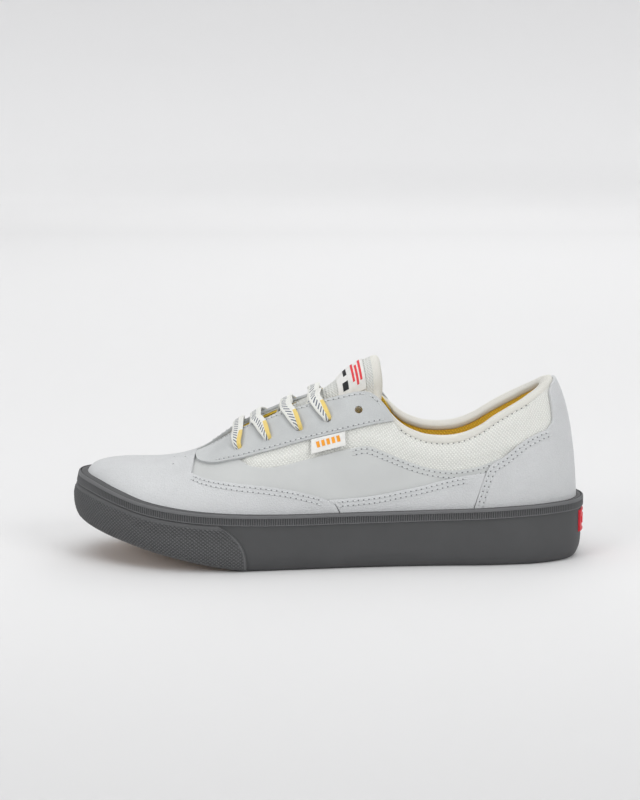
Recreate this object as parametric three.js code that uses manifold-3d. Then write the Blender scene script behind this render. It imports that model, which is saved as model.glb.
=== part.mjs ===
// A low lace-up shoe, left foot, as an assembly: vulcanised rubber sole, layered upper, padded
// collar and tongue, laces. Millimetres, +Z up, toe towards -X, outer side towards -Y.
// The origin is on the ground under the middle of the shoe.
import * as THREE from "three";
import { mergeVertices } from "three/addons/utils/BufferGeometryUtils.js";
import Module from "manifold-3d";

const wasm = await Module();
wasm.setup();

// ---- driving sizes ----
const LENGTH = 293.5; // sole, toe to heel
const BALL_WIDTH = 106; // sole, across the ball
const INSTEP_HEIGHT = 116; // top line of the last above the ground
const FOXING_HEIGHT = 32; // rubber wall at the waist
const OUTSOLE = 5; // rubber under the foot
const MIDSOLE = 10;
const BOARD = 1.6; // insole board
const SOCKLINER = 4;
const FOXING_THICK = 2; // rubber tape round the side
const TRIM_THICK = 0.8; // bumper, ribbed stripe and heel tab
const STRIPE_HEIGHT = 6;
const LEATHER = 1.1; // vamp, overlays, eyestays
const PANEL = 1.1; // side panels and stiffeners
const MESH = 1; // knitted quarter
const LINING = 1;
const COLLAR_FOAM = 3;
const TONGUE_FOAM = 5;
const EYELET_HOLE = 5.4;
const LACE_THICK = 2.2;
const GAP = 0.3; // between pieces that touch face to face
const LAYER_GAP = 0.6; // between curved layers of the upper
const RAD = Math.PI / 180;

// The last was drawn at this size. Other sizes stretch it.
const DRAWN = { length: 293.5, width: 106, top: 116 };
const SX = LENGTH / DRAWN.length;
const SY = BALL_WIDTH / DRAWN.width;
const FEATHER = OUTSOLE + MIDSOLE + GAP * 2; // height at which the upper starts
const SZ = (INSTEP_HEIGHT - FEATHER) / (DRAWN.top - 15.6);

// ---- curves through a few chosen values ----
function smooth(keys, x) {
  const last = keys.length - 1;
  const at = Math.min(Math.max(x, keys[0][0]), keys[last][0]);
  let i = 0;
  while (i < last - 1 && at >= keys[i + 1][0]) i += 1;
  const slope = (k) => {
    const before = Math.max(k - 1, 0);
    const after = Math.min(k + 1, last);
    if (before === k) return rise(k);
    if (after === k) return rise(k - 1);
    const h0 = keys[k][0] - keys[k - 1][0];
    const h1 = keys[k + 1][0] - keys[k][0];
    return (rise(k - 1) * h1 + rise(k) * h0) / (h0 + h1);
  };
  const rise = (k) => (keys[k + 1][1] - keys[k][1]) / (keys[k + 1][0] - keys[k][0]);
  const h = keys[i + 1][0] - keys[i][0];
  const t = (at - keys[i][0]) / h;
  const t2 = t * t;
  const t3 = t2 * t;
  return (
    (2 * t3 - 3 * t2 + 1) * keys[i][1] +
    (t3 - 2 * t2 + t) * slope(i) * h +
    (-2 * t3 + 3 * t2) * keys[i + 1][1] +
    (t3 - t2) * slope(i + 1) * h
  );
}

// ---- the sole's outline, from the heel along the outer side to the toe and back ----
const OUTLINE = [
  [148.5, 0], [143, -18], [126, -31], [98, -37.5], [60, -39.5], [20, -43.5], [-20, -50],
  [-55, -54.5], [-85, -52.5], [-112, -42], [-132, -25], [-143.5, -4], [-145, 14], [-138, 30],
  [-120, 43], [-92, 50.5], [-60, 51.5], [-25, 45], [15, 37], [55, 35.5], [95, 37], [126, 31],
  [143, 18],
].map(([x, y]) => [x * SX, y * SY]);

const OUTLINE_STEPS = 720;
const outlineTable = makeOutline();

function makeOutline() {
  const n = OUTLINE.length;
  const wrapped = [-2, -1, ...Array(n + 3).keys()].map((i) => OUTLINE[(i + n) % n]);
  const along = [0];
  for (let i = 1; i < wrapped.length; i += 1) {
    const [a, b] = [wrapped[i - 1], wrapped[i]];
    along.push(along[i - 1] + Math.hypot(b[0] - a[0], b[1] - a[1]));
  }
  const xs = wrapped.map((p, i) => [along[i], p[0]]);
  const ys = wrapped.map((p, i) => [along[i], p[1]]);
  const rows = [];
  let length = 0;
  for (let i = 0; i <= OUTLINE_STEPS; i += 1) {
    const u = along[2] + ((along[2 + n] - along[2]) * i) / OUTLINE_STEPS;
    const x = smooth(xs, u);
    const y = smooth(ys, u);
    if (i) length += Math.hypot(x - rows[i - 1].x, y - rows[i - 1].y);
    rows.push({ x, y, length });
  }
  return rows;
}

const GIRTH = outlineTable[OUTLINE_STEPS].length;

function outlinePoint(length) {
  const at = ((length % GIRTH) + GIRTH) % GIRTH;
  let low = 0;
  let high = OUTLINE_STEPS;
  while (high - low > 1) {
    const middle = (low + high) >> 1;
    if (outlineTable[middle].length <= at) low = middle;
    else high = middle;
  }
  const [a, b] = [outlineTable[low], outlineTable[high]];
  const t = (at - a.length) / (b.length - a.length);
  return { x: a.x + (b.x - a.x) * t, y: a.y + (b.y - a.y) * t };
}

// The outline at share s of its girth, moved in by inset.
function outline(s, inset = 0) {
  const at = s * GIRTH;
  const p = outlinePoint(at);
  const ahead = outlinePoint(at + 1.5);
  const behind = outlinePoint(at - 1.5);
  const dx = ahead.x - behind.x;
  const dy = ahead.y - behind.y;
  const size = Math.hypot(dx, dy);
  return { x: p.x + (dy / size) * inset, y: p.y - (dx / size) * inset };
}

// ---- heights along the shoe ----
const TOE_SPRING = [
  [-145, 21], [-121, 15.5], [-102, 11], [-81, 6.4], [-60, 2.4], [-44, 0.4], [-32, 0], [-22, 0], [150, 0],
];
const RIM_LIFT = [
  [-145, 15.5], [-136, 14.2], [-121, 10.8], [-101, 5.9], [-80, 2.9], [-45, 0.6], [15, 0], [82, 1],
  [132, 2.8], [149, 3],
];
const TOP_LINE = [
  [-100, 53.4], [-90, 55], [-80, 57.4], [-70, 61.4], [-50, 75], [-25, 89], [0, 101], [25, 110],
  [55, 115], [80, 116],
];
const TOP_LINE_Y = [[-100, 6], [-60, 2], [-20, 0], [80, 0]];
const FULLNESS = [
  [-145, 0.5], [-128, 0.62], [-110, 0.8], [-90, 0.92], [-60, 0.9], [-20, 0.82], [20, 0.8], [60, 0.8],
  [100, 0.6], [125, 0.42], [142, 0.33],
];
const UPPER_INSET = FOXING_THICK + TRIM_THICK + GAP * 3;
const TOP_LINE_RANGE = [-100, 80];
const TOP_LINE_BLEND = 14;

// Round the toe the wall slopes back, and everything inside it stands further in.
const TOE_SLOPE = { depth: 3, from: -105, to: -140 };
const toeShare = (x) => 1 - THREE.MathUtils.smoothstep(x / SX, TOE_SLOPE.to, TOE_SLOPE.from);
const tucked = (s, inset) => outline(s, inset + TOE_SLOPE.depth * toeShare(outline(s).x));

const spring = (x) => smooth(TOE_SPRING, x / SX);
const rim = (x) => FOXING_HEIGHT + smooth(RIM_LIFT, x / SX);

function softClamp(x, low, high, blend) {
  const up = low + blend * Math.log1p(Math.exp((x - low) / blend));
  return high - blend * Math.log1p(Math.exp((high - up) / blend));
}

// The last's surface: s goes round the outline, lift goes from 0 at the feather edge to 90 at the
// top line, in degrees.
function last(s, lift) {
  const foot = tucked(s, UPPER_INSET);
  const drawnX = foot.x / SX;
  const topX = softClamp(drawnX, ...TOP_LINE_RANGE, TOP_LINE_BLEND);
  const start = FEATHER + spring(foot.x);
  const topZ = FEATHER + (smooth(TOP_LINE, topX) - 15.6) * SZ;
  const topY = smooth(TOP_LINE_Y, topX) * SY;
  const c = Math.cos(lift * RAD) ** smooth(FULLNESS, drawnX);
  return new THREE.Vector3(
    foot.x * c + topX * SX * (1 - c),
    foot.y * c + topY * (1 - c),
    start + (topZ - start) * Math.sin(lift * RAD),
  );
}

function lastNormal(s, lift) {
  if (lift > 89.9) {
    const x = softClamp(tucked(s, UPPER_INSET).x / SX, ...TOP_LINE_RANGE, TOP_LINE_BLEND);
    const slope = ((smooth(TOP_LINE, x + 1) - smooth(TOP_LINE, x - 1)) * SZ) / (2 * SX);
    return new THREE.Vector3(-slope, 0, 1).normalize();
  }
  const along = last(s + 0.002, lift).sub(last(s - 0.002, lift));
  const upward = last(s, Math.min(lift + 0.5, 89.95)).sub(last(s, lift - 0.5));
  return along.cross(upward).normalize().negate();
}

// A point at some depth under the upper's outer face.
const under = (s, lift, depth) => last(s, lift).addScaledVector(lastNormal(s, lift), -depth);

// ---- solids ----
// Closes two matching sets of points, an outer and an inner skin, into one solid. Points that
// coincide are joined, and a wall is added only along open edges.
function thicken(outer, inner, faces) {
  const seen = new Map();
  const same = outer.map((p, i) => {
    const key = [p.x, p.y, p.z].map((v) => Math.round(v * 1000)).join();
    if (!seen.has(key)) seen.set(key, i);
    return seen.get(key);
  });
  const n = outer.length;
  const index = [];
  const edges = new Set();
  const triangles = faces.flatMap(([a, b, c, d]) => [[a, b, c], [a, c, d]]);
  for (const triangle of triangles) {
    const [a, b, c] = triangle.map((v) => same[v]);
    if (a === b || b === c || c === a) continue;
    index.push(a, b, c, n + a, n + c, n + b);
    for (const edge of [[a, b], [b, c], [c, a]]) edges.add(edge.join());
  }
  for (const edge of edges) {
    const [a, b] = edge.split(",").map(Number);
    if (edges.has([b, a].join())) continue;
    index.push(a, n + a, b, b, n + a, n + b);
  }
  const all = [...outer, ...inner];
  const geometry = new THREE.BufferGeometry().setFromPoints(all);
  geometry.setIndex(index);
  return outward(geometry);
}

function outward(geometry) {
  const position = geometry.getAttribute("position");
  const index = geometry.getIndex().array;
  const [a, b, c] = [0, 0, 0].map(() => new THREE.Vector3());
  let volume = 0;
  for (let i = 0; i < index.length; i += 3) {
    a.fromBufferAttribute(position, index[i]);
    b.fromBufferAttribute(position, index[i + 1]);
    c.fromBufferAttribute(position, index[i + 2]);
    volume += a.dot(b.cross(c));
  }
  if (volume < 0) {
    for (let i = 0; i < index.length; i += 3) [index[i], index[i + 1]] = [index[i + 1], index[i]];
  }
  return geometry;
}

function steps(from, to, count) {
  return Array.from({ length: count + 1 }, (_, i) => from + ((to - from) * i) / count);
}

// A solid from a grid of [outer, inner] pairs of points.
function slab(grid) {
  return patches([grid]);
}

function patches(grids) {
  const outer = [];
  const inner = [];
  const faces = [];
  for (const grid of grids) {
    const start = outer.length;
    const rows = grid[0].length;
    grid.forEach((column) => column.forEach(([a, b]) => {
      outer.push(a);
      inner.push(b);
    }));
    for (let i = 0; i < grid.length - 1; i += 1) {
      for (let j = 0; j < rows - 1; j += 1) {
        const k = start + i * rows + j;
        faces.push([k, k + rows, k + rows + 1, k + 1]);
      }
    }
  }
  return thicken(outer, inner, faces);
}

// A closed ring of equal sections.
function ring(sections) {
  const n = sections[0].length;
  const index = [];
  sections.forEach((_, i) => {
    const next = ((i + 1) % sections.length) * n;
    for (let j = 0; j < n; j += 1) {
      const k = (j + 1) % n;
      index.push(i * n + j, next + j, next + k, i * n + j, next + k, i * n + k);
    }
  });
  const geometry = new THREE.BufferGeometry().setFromPoints(sections.flat());
  geometry.setIndex(index);
  return outward(geometry);
}

function toSolid(geometry) {
  const bare = geometry.clone();
  bare.deleteAttribute("normal");
  bare.deleteAttribute("uv");
  const merged = mergeVertices(bare, 1e-4);
  return new wasm.Manifold(
    new wasm.Mesh({
      numProp: 3,
      vertProperties: merged.getAttribute("position").array,
      triVerts: new Uint32Array(merged.getIndex().array),
    }),
  );
}

function toGeometry(solid) {
  const mesh = solid.getMesh();
  const geometry = new THREE.BufferGeometry();
  geometry.setAttribute("position", new THREE.BufferAttribute(mesh.vertProperties, 3));
  geometry.setIndex(new THREE.BufferAttribute(mesh.triVerts, 1));
  return geometry;
}

function cut(geometry, tools) {
  return toGeometry(tools.reduce((solid, tool) => solid.subtract(tool), toSolid(geometry)));
}

// ---- the assembly ----
const shoe = new THREE.Group();
function add(name, geometry, color, roughness) {
  const mesh = new THREE.Mesh(geometry, new THREE.MeshStandardMaterial({ color, roughness, metalness: 0 }));
  mesh.name = name;
  shoe.add(mesh);
}
const COLOR = {
  rubber: 0x5c5e60, gum: 0x9a7a58, foam: 0xd9d6cc, board: 0xb9a98a, leather: 0xcdd0d2, smooth: 0xc8cbca,
  suede: 0xbfc2c4, knit: 0xebece6, lining: 0xe1a529, white: 0xf0efe8, red: 0xc81e2d, lace: 0xe9e6dc,
};

// ---- sole ----
// A plate inside the outline between two heights over the toe spring.
function plate(place, low, high) {
  const grid = steps(0, 0.5, 30).map((s) => [s, 1 - s].map((side) => {
    const p = place(side);
    const ground = spring(p.x);
    return [new THREE.Vector3(p.x, p.y, ground + high), new THREE.Vector3(p.x, p.y, ground + low)];
  }));
  return slab(grid);
}
const CORE_INSET = 7.8; // outsole and midsole stand inside the foxing's foot
const WALL = LEATHER + PANEL + MESH + LINING + LAYER_GAP * 3;
const INSIDE_INSET = UPPER_INSET + WALL + 1.8;
const core = (s) => outline(s, CORE_INSET);
const inside = (s) => tucked(s, INSIDE_INSET);
add("outsole", plate(core, 0, OUTSOLE), COLOR.gum, 0.7);
add("midsole", plate(core, OUTSOLE + GAP, OUTSOLE + MIDSOLE), COLOR.foam, 0.9);
const BOARD_LOW = FEATHER;
const SOCK_LOW = BOARD_LOW + BOARD + GAP;
add("insole_board", plate(inside, BOARD_LOW, BOARD_LOW + BOARD), COLOR.board, 0.9);
add("sockliner", plate(inside, SOCK_LOW, SOCK_LOW + SOCKLINER), COLOR.lining, 0.9);

// The foxing's outer face leans in towards the ground. Depth is measured in from the outline.
const LEAN = 3.4;
const LEAN_HEIGHT = 14;
const lean = (height) => LEAN * (1 - Math.min(height / LEAN_HEIGHT, 1)) ** 3;
const FOXING_DEPTH = TRIM_THICK + GAP + 0.1;
const FOXING_FOOT = CORE_INSET - GAP;
const wallPoint = (s, depth, z) => {
  const { x } = outline(s);
  const above = (z - spring(x) - LEAN_HEIGHT) / (rim(x) - spring(x) - LEAN_HEIGHT);
  const p = outline(s, depth + TOE_SLOPE.depth * toeShare(x) * Math.max(above, 0));
  return new THREE.Vector3(p.x, p.y, z);
};
const footPoint = (s, depth, height) => {
  const p = outline(s, depth);
  return new THREE.Vector3(p.x, p.y, spring(p.x) + height);
};
// Steps round the sole, closer together at the toe and the heel.
const RING_STEPS = 64;
const CROWDING = 0.03;
const ringShare = (step) => step / RING_STEPS - CROWDING * Math.sin((4 * Math.PI * step) / RING_STEPS);
const around = steps(0, RING_STEPS, RING_STEPS).slice(0, -1).map(ringShare);
const FACE_HEIGHTS = [0, 3.5, LEAN_HEIGHT];
add("foxing_tape", ring(around.map((s) => {
  const at = outline(s);
  const low = spring(at.x);
  const high = rim(at.x);
  const face = FACE_HEIGHTS.map((h) => wallPoint(s, FOXING_DEPTH + lean(h), low + h));
  const inner = FOXING_DEPTH + FOXING_THICK;
  return [
    ...face,
    wallPoint(s, FOXING_DEPTH, high),
    wallPoint(s, inner, high),
    footPoint(s, inner, FEATHER - GAP),
    footPoint(s, FOXING_FOOT, FEATHER - GAP),
    footPoint(s, FOXING_FOOT, 0),
  ];
})), COLOR.rubber, 0.75);
add("foxing_stripe", ring(around.map((s) => {
  const high = rim(outline(s).x);
  const low = high - STRIPE_HEIGHT;
  return [[0, low], [0, high], [TRIM_THICK, high], [TRIM_THICK, low]].map(([d, z]) => wallPoint(s, d, z));
})), COLOR.rubber, 0.7);

// A strip of rubber on the foxing's face, over a whole number of the ring's steps each way.
function wallStrip(from, to, lowAt, highAt) {
  return slab(steps(from, to, to - from).map((step) => {
    const s = ringShare(step);
    const x = outline(s).x;
    const ground = spring(x);
    const [low, high] = [lowAt(x), highAt(x)];
    const heights = FACE_HEIGHTS.map((h) => ground + h).filter((z) => z > low + 1 && z < high - 1);
    return [low, ...heights, high].map((z) => [
      wallPoint(s, lean(z - ground), z),
      wallPoint(s, lean(z - ground) + TRIM_THICK, z),
    ]);
  }));
}
const BUMPER_END = 21; // ring steps from the heel to the bumper's end at the ball
const stripeFoot = (x) => rim(x) - STRIPE_HEIGHT - GAP;
add("toe_bumper", wallStrip(BUMPER_END, RING_STEPS - BUMPER_END, spring, stripeFoot), COLOR.rubber, 0.8);
const HEEL_TAB = { reach: 2, low: 15, high: 27 };
add("heel_tab", wallStrip(-HEEL_TAB.reach, HEEL_TAB.reach, () => HEEL_TAB.low, () => HEEL_TAB.high),
  COLOR.red, 0.5);

// ---- upper ----
// Each layer lies between two depths under the outer face.
const OVERLAY_LAYER = [0, LEATHER];
const PANEL_TOP = LEATHER + LAYER_GAP;
const PANEL_LAYER = [PANEL_TOP, PANEL_TOP + PANEL];
const MESH_TOP = PANEL_LAYER[1] + LAYER_GAP;
const MESH_LAYER = [MESH_TOP, MESH_TOP + MESH];
const LINING_TOP = MESH_LAYER[1] + LAYER_GAP;
const LINING_LAYER = [LINING_TOP, LINING_TOP + LINING];

// Edges of the pieces on the outer side: lift over share of the girth.
const COLLAR_EDGE = [
  [0, 62], [0.03, 58.5], [0.048, 54.5], [0.063, 50.5], [0.073, 48.5], [0.094, 43.5], [0.114, 38.5],
  [0.132, 35.5], [0.15, 35], [0.166, 36.5], [0.183, 42], [0.194, 48.5],
];
const EYESTAY_TOP = [
  [0.189, 44.5], [0.194, 49], [0.204, 57], [0.209, 60], [0.216, 62], [0.232, 63.5], [0.249, 65.5],
  [0.324, 75], [0.34, 80], [0.356, 84],
];
const EYESTAY_FOOT = [
  [0.189, 43.5], [0.232, 43.5], [0.266, 45], [0.299, 46.5], [0.325, 49.5], [0.34, 53], [0.347, 57],
  [0.353, 65], [0.356, 76],
];
const MESH_FOOT = [
  [0.085, 28], [0.094, 27], [0.12, 24], [0.144, 23], [0.163, 25], [0.18, 28], [0.195, 31], [0.211, 35],
  [0.233, 34.5], [0.266, 35.5], [0.282, 36], [0.299, 38.5], [0.311, 43.5], [0.32, 49], [0.34, 54.5],
  [0.347, 60], [0.36, 72],
];
const VAMP_EDGE = [
  [0.234, 12], [0.25, 17.5], [0.266, 21.5], [0.283, 25], [0.304, 29], [0.323, 33.5], [0.345, 40.5],
  [0.36, 54],
];
const LOW_QUARTER_EDGE = [
  [0.117, 22], [0.134, 21.5], [0.15, 20], [0.167, 18.5], [0.183, 17.5], [0.2, 17],
  [0.233, 16.5], [0.25, 17.5],
];
const COUNTER_EDGE = [
  [0, 60.5], [0.02, 58.5], [0.034, 55], [0.04, 46], [0.046, 39], [0.069, 34], [0.094, 27], [0.109, 23],
  [0.123, 8],
];

// A piece of one layer between two edges. Mirrored pieces take the same edges on the inner side.
function panelGrid(shares, foot, top, layer, rows) {
  return shares.map((s) => {
    const side = Math.abs(s > 0.5 ? 1 - s : s);
    const [low, high] = [foot(side), top(side)];
    return steps(low, high, rows).map((lift) => layer.map((depth) => under(s, lift, depth)));
  });
}
function pair(name, build, color, roughness) {
  add(name + "_lateral", build((s) => s), color, roughness);
  add(name + "_medial", build((s) => 1 - s), color, roughness);
}
const edge = (keys, shift = 0) => (s) => smooth(keys, s) + shift;
const UNDERLAP = 4; // degrees of lift that a lower layer runs on under an upper one

// The side panel and the knit behind it share their columns, so their facets stay parallel.
const SIDE_STEP = 0.01305;
const sideColumns = (from, to) => steps(0.085 + from * SIDE_STEP, 0.085 + to * SIDE_STEP, to - from);
pair("side_panel", (side) => slab(panelGrid(sideColumns(0, 21).map(side), () => 0, edge(MESH_FOOT),
  PANEL_LAYER, 4)), COLOR.smooth, 0.55);
pair("lower_quarter", (side) => slab(panelGrid(steps(0.126, 0.231, 10).map(side), () => 0,
  edge(LOW_QUARTER_EDGE), OVERLAY_LAYER, 2)), COLOR.leather, 0.6);

// The knitted quarter follows the collar and, in front of it, runs on under the eyestay.
const quarterTop = (s) => (s < 0.194 ? smooth(COLLAR_EDGE, s) - 1 : smooth(EYESTAY_FOOT, s) + UNDERLAP - 1);
pair("quarter_mesh", (side) => slab(panelGrid(sideColumns(-4, 19).map(side),
  (s) => smooth(MESH_FOOT, s) - UNDERLAP, quarterTop, MESH_LAYER, 4)), COLOR.knit, 0.9);

// ---- eyelets ----
const EYELETS = [[0.319, 58], [0.294, 55], [0.268, 53], [0.244, 52], [0.218, 51.5]];
const eyeletTools = (side) => EYELETS.map(([s, lift]) => {
  const share = side(s);
  const centre = under(share, lift, 4);
  const hole = new THREE.CylinderGeometry(EYELET_HOLE / 2, EYELET_HOLE / 2, 22, 6);
  hole.applyQuaternion(
    new THREE.Quaternion().setFromUnitVectors(new THREE.Vector3(0, 1, 0), lastNormal(share, lift)),
  );
  hole.translate(centre.x, centre.y, centre.z);
  return toSolid(hole);
});
const lateralTools = eyeletTools((s) => s);
const medialTools = eyeletTools((s) => 1 - s);
const bothTools = [...lateralTools, ...medialTools];
function replace(name, tools) {
  const mesh = shoe.getObjectByName(name);
  mesh.geometry = cut(mesh.geometry, tools);
}
pair("eyestay", (side) => slab(panelGrid(steps(0.19, 0.355, 20).map(side), edge(EYESTAY_FOOT),
  edge(EYESTAY_TOP), OVERLAY_LAYER, 3)), COLOR.suede, 0.9);
pair("eyestay_backing", (side) => slab(panelGrid(steps(0.206, 0.336, 14).map(side), edge(EYESTAY_FOOT, 4),
  edge(EYESTAY_TOP, -3), PANEL_LAYER, 2)), COLOR.white, 0.9);
for (const name of ["eyestay", "eyestay_backing"]) {
  replace(name + "_lateral", lateralTools);
  replace(name + "_medial", medialTools);
}

// ---- heel ----
const heelShares = (half, count) => steps(-half, half, count);
const heelSide = (keys) => (s) => smooth(keys, Math.abs(s));
add("heel_counter", slab(panelGrid(heelShares(0.1225, 24), () => 0, heelSide(COUNTER_EDGE),
  OVERLAY_LAYER, 4)), COLOR.leather, 0.6);
add("heel_stiffener", slab(panelGrid(heelShares(0.08, 16), () => 0,
  (s) => Math.min(smooth(COUNTER_EDGE, Math.abs(s)), 42) - 5, PANEL_LAYER, 3)), COLOR.board, 0.9);

// ---- toe ----
// Shares on the inner side whose feather edge is level with a share on the outer side.
function partner(s) {
  const x = tucked(s, UPPER_INSET).x;
  let [low, high] = [0.5, 0.85];
  for (let i = 0; i < 40; i += 1) {
    const middle = (low + high) / 2;
    if (tucked(middle, UPPER_INSET).x < x) low = middle;
    else high = middle;
  }
  return (low + high) / 2;
}
function toeTip() {
  let best = 0.5;
  for (let s = 0.47; s < 0.53; s += 0.0005) {
    if (tucked(s, UPPER_INSET).x < tucked(best, UPPER_INSET).x) best = s;
  }
  return best;
}
const TIP = toeTip();
// A sheet over the toe: wings along both sides that meet in a cap over the top line.
function toeSheet(back, throat, wingTop, rows, capRows, wingSteps, capSteps, layer) {
  const point = (s, lift) => layer.map((depth) => under(s, lift, depth));
  const throatLift = wingTop(throat);
  const lifts = [...steps(0, throatLift, rows), ...steps(throatLift, 90, capRows).slice(1)];
  const capShares = steps(throat, TIP, capSteps);
  const cap = (share) => capShares.map((s) => lifts.map((lift) => point(share(s), lift)));
  const wing = (share) => steps(back, throat, wingSteps).map((s) => (
    steps(0, wingTop(s), rows).map((lift) => point(share(s), lift))));
  const medial = (s) => (Math.abs(s - TIP) < 1e-9 ? TIP : partner(s));
  const flip = (grid) => grid.map((column) => [...column].reverse());
  const lateralGrids = wingSteps ? [wing((s) => s), cap((s) => s)] : [cap((s) => s)];
  const medialGrids = wingSteps ? [wing(medial), cap(medial)] : [cap(medial)];
  return patches([...lateralGrids, ...medialGrids.map(flip)]);
}
add("vamp", toeSheet(0.234, 0.36, edge(VAMP_EDGE), 4, 3, 12, 12, OVERLAY_LAYER), COLOR.leather, 0.6);
add("toe_puff", toeSheet(0.41, 0.41, () => 50, 3, 3, 0, 8, PANEL_LAYER), COLOR.board, 0.9);
add("vamp_lining", toeSheet(0.36, 0.36, () => 50, 3, 3, 0, 11, MESH_LAYER), COLOR.knit, 0.9);

// ---- collar ----
// The lining stands off behind the collar foam and comes back to the upper lower down.
const FOAM_DEEP = 13;
const foamPush = (s, lift) => {
  const below = (smooth(COLLAR_EDGE, Math.abs(s > 0.5 ? 1 - s : s)) - lift) / FOAM_DEEP;
  const share = Math.abs(s > 0.5 ? 1 - s : s);
  const fade = 1 - THREE.MathUtils.smoothstep(share, 0.175, 0.215);
  return (1 - THREE.MathUtils.smoothstep(below, 0.8, 1.5)) * fade * (COLLAR_FOAM + LAYER_GAP);
};
const liningTop = (s) => (s < 0.194 ? smooth(COLLAR_EDGE, s) : smooth(EYESTAY_TOP, s)) - 1;
const LINING_STEP = 0.0156;
const bothWays = (count) => steps(-count * LINING_STEP, count * LINING_STEP, 2 * count);
function liningGrid() {
  return bothWays(22).map((s) => {
    const share = Math.abs(s);
    const top = liningTop(share);
    const foamFoot = top - FOAM_DEEP * 0.8;
    const stand = top - FOAM_DEEP * 1.5;
    const lifts = [0, stand / 2, stand, foamFoot, (foamFoot + top) / 2, top];
    return lifts.map((lift) => (
      LINING_LAYER.map((depth) => under(s, lift, depth + foamPush(share, lift)))));
  });
}
add("quarter_lining", cut(slab(liningGrid()), bothTools), COLOR.lining, 0.9);
add("collar_foam", slab(bothWays(11).map((s) => {
  const top = smooth(COLLAR_EDGE, Math.abs(s)) - 1;
  return steps(top - FOAM_DEEP * 0.7, top, 2).map((lift) => (
    [LINING_TOP, LINING_TOP + COLLAR_FOAM].map((depth) => under(s, lift, depth))));
})), COLOR.foam, 0.95);

// A rolled binding over the collar's edge.
const BINDING_HEIGHT = 3;
const BINDING_END = 0.19;
add("collar_binding", slab(steps(-BINDING_END, BINDING_END, 32).map((s) => {
  const lift = smooth(COLLAR_EDGE, Math.abs(s));
  const base = last(s, lift);
  const normal = lastNormal(s, lift);
  const upward = last(s, lift + 0.5).sub(last(s, lift - 0.5)).normalize();
  const deep = LINING_LAYER[1] + foamPush(Math.abs(s), lift);
  const at = (depth, height) => base.clone().addScaledVector(normal, -depth).addScaledVector(upward, height);
  const from = MESH_TOP;
  return steps(0, 1, 3).map((t) => {
    const depth = from + (deep - from) * t;
    return [at(depth, 0.8 + BINDING_HEIGHT * Math.sin(Math.PI * (0.12 + 0.76 * t))), at(depth, 0.3)];
  });
})), COLOR.white, 0.85);

// ---- tongue ----
// It lies under the eyestays at its sides and bulges up between them along the middle. Depth is
// measured under the upper's outer face, as everywhere.
const TONGUE_END = 0.207;
const TONGUE_STEP = 0.0115; // share of the girth between its cross rows
const TONGUE_ROWS = 12;
const TONGUE_SIDE = 50; // lift of its side edges
const LACE_ROOM = LACE_THICK + GAP * 6;
const TONGUE_SIDE_DEPTH = LINING_LAYER[1] + LACE_ROOM;
const TONGUE_MIDDLE_DEPTH = [
  [0.2, -4.4], [0.213, -3.6], [0.226, -1.2], [0.24, 3], [0.252, 6], [0.275, 6.8], [0.345, 7.5],
];
function tongueDepth(s, lift) {
  const edgeLift = smooth(EYESTAY_TOP, Math.max(s, 0.209)) + 1;
  const rise = THREE.MathUtils.smoothstep(lift, edgeLift, 92);
  return TONGUE_SIDE_DEPTH + (smooth(TONGUE_MIDDLE_DEPTH, s) - TONGUE_SIDE_DEPTH) * rise;
}
function tonguePart(shares, low, rows, top, bottom) {
  return slab(shares.map((s) => {
    const lifts = steps(low, 90, rows);
    const point = (share, lift) => [top, bottom].map((d) => under(share, lift, tongueDepth(s, lift) + d));
    const other = partner(s);
    return [
      ...lifts.map((lift) => point(s, lift)),
      ...lifts.reverse().slice(1).map((lift) => point(other, lift)),
    ];
  }));
}
const tongueRows = (count) => steps(TONGUE_END, TONGUE_END + TONGUE_STEP * count, count);
const TONGUE_FACE = 1;
const TONGUE_GAP = GAP * 2;
const FOAM_FROM = TONGUE_FACE + TONGUE_GAP;
const TONGUE_LINING_FROM = FOAM_FROM + TONGUE_FOAM + TONGUE_GAP;
const TONGUE_THICK = TONGUE_LINING_FROM + TONGUE_FACE;
const ACROSS = 5; // rows of points on each half
add("tongue_face", tonguePart(tongueRows(TONGUE_ROWS), TONGUE_SIDE, ACROSS, 0, TONGUE_FACE), COLOR.knit, 0.9);
add("tongue_foam", tonguePart(tongueRows(8), TONGUE_SIDE, ACROSS, FOAM_FROM, FOAM_FROM + TONGUE_FOAM),
  COLOR.foam, 0.95);
add("tongue_lining", tonguePart(tongueRows(TONGUE_ROWS), TONGUE_SIDE, ACROSS, TONGUE_LINING_FROM,
  TONGUE_THICK), COLOR.knit, 0.9);
const HEM = [TONGUE_END - 0.0075, TONGUE_END - 0.001];
add("tongue_hem", tonguePart(HEM, TONGUE_SIDE, ACROSS, 0, TONGUE_THICK), COLOR.white, 0.85);
const LABEL_THICK = 0.7;
add("tongue_label", tonguePart(
  steps(TONGUE_END + 0.004, TONGUE_END + 0.026, 4), 76, 3, -LABEL_THICK - TONGUE_GAP, -TONGUE_GAP),
  COLOR.white, 0.8);

// A small cloth label sewn under the eyestay's lower edge, hanging over the side.
const SIDE_LABEL = { from: 0.228, to: 0.257, low: 36.5 };
add("side_label", slab(steps(SIDE_LABEL.from, SIDE_LABEL.to, 3).map((s) => {
  const lifts = steps(SIDE_LABEL.low, smooth(EYESTAY_FOOT, s) - 1, 2);
  return lifts.map((lift) => [-LABEL_THICK, 0].map((depth) => under(s, lift, depth)));
})), COLOR.white, 0.8);

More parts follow.
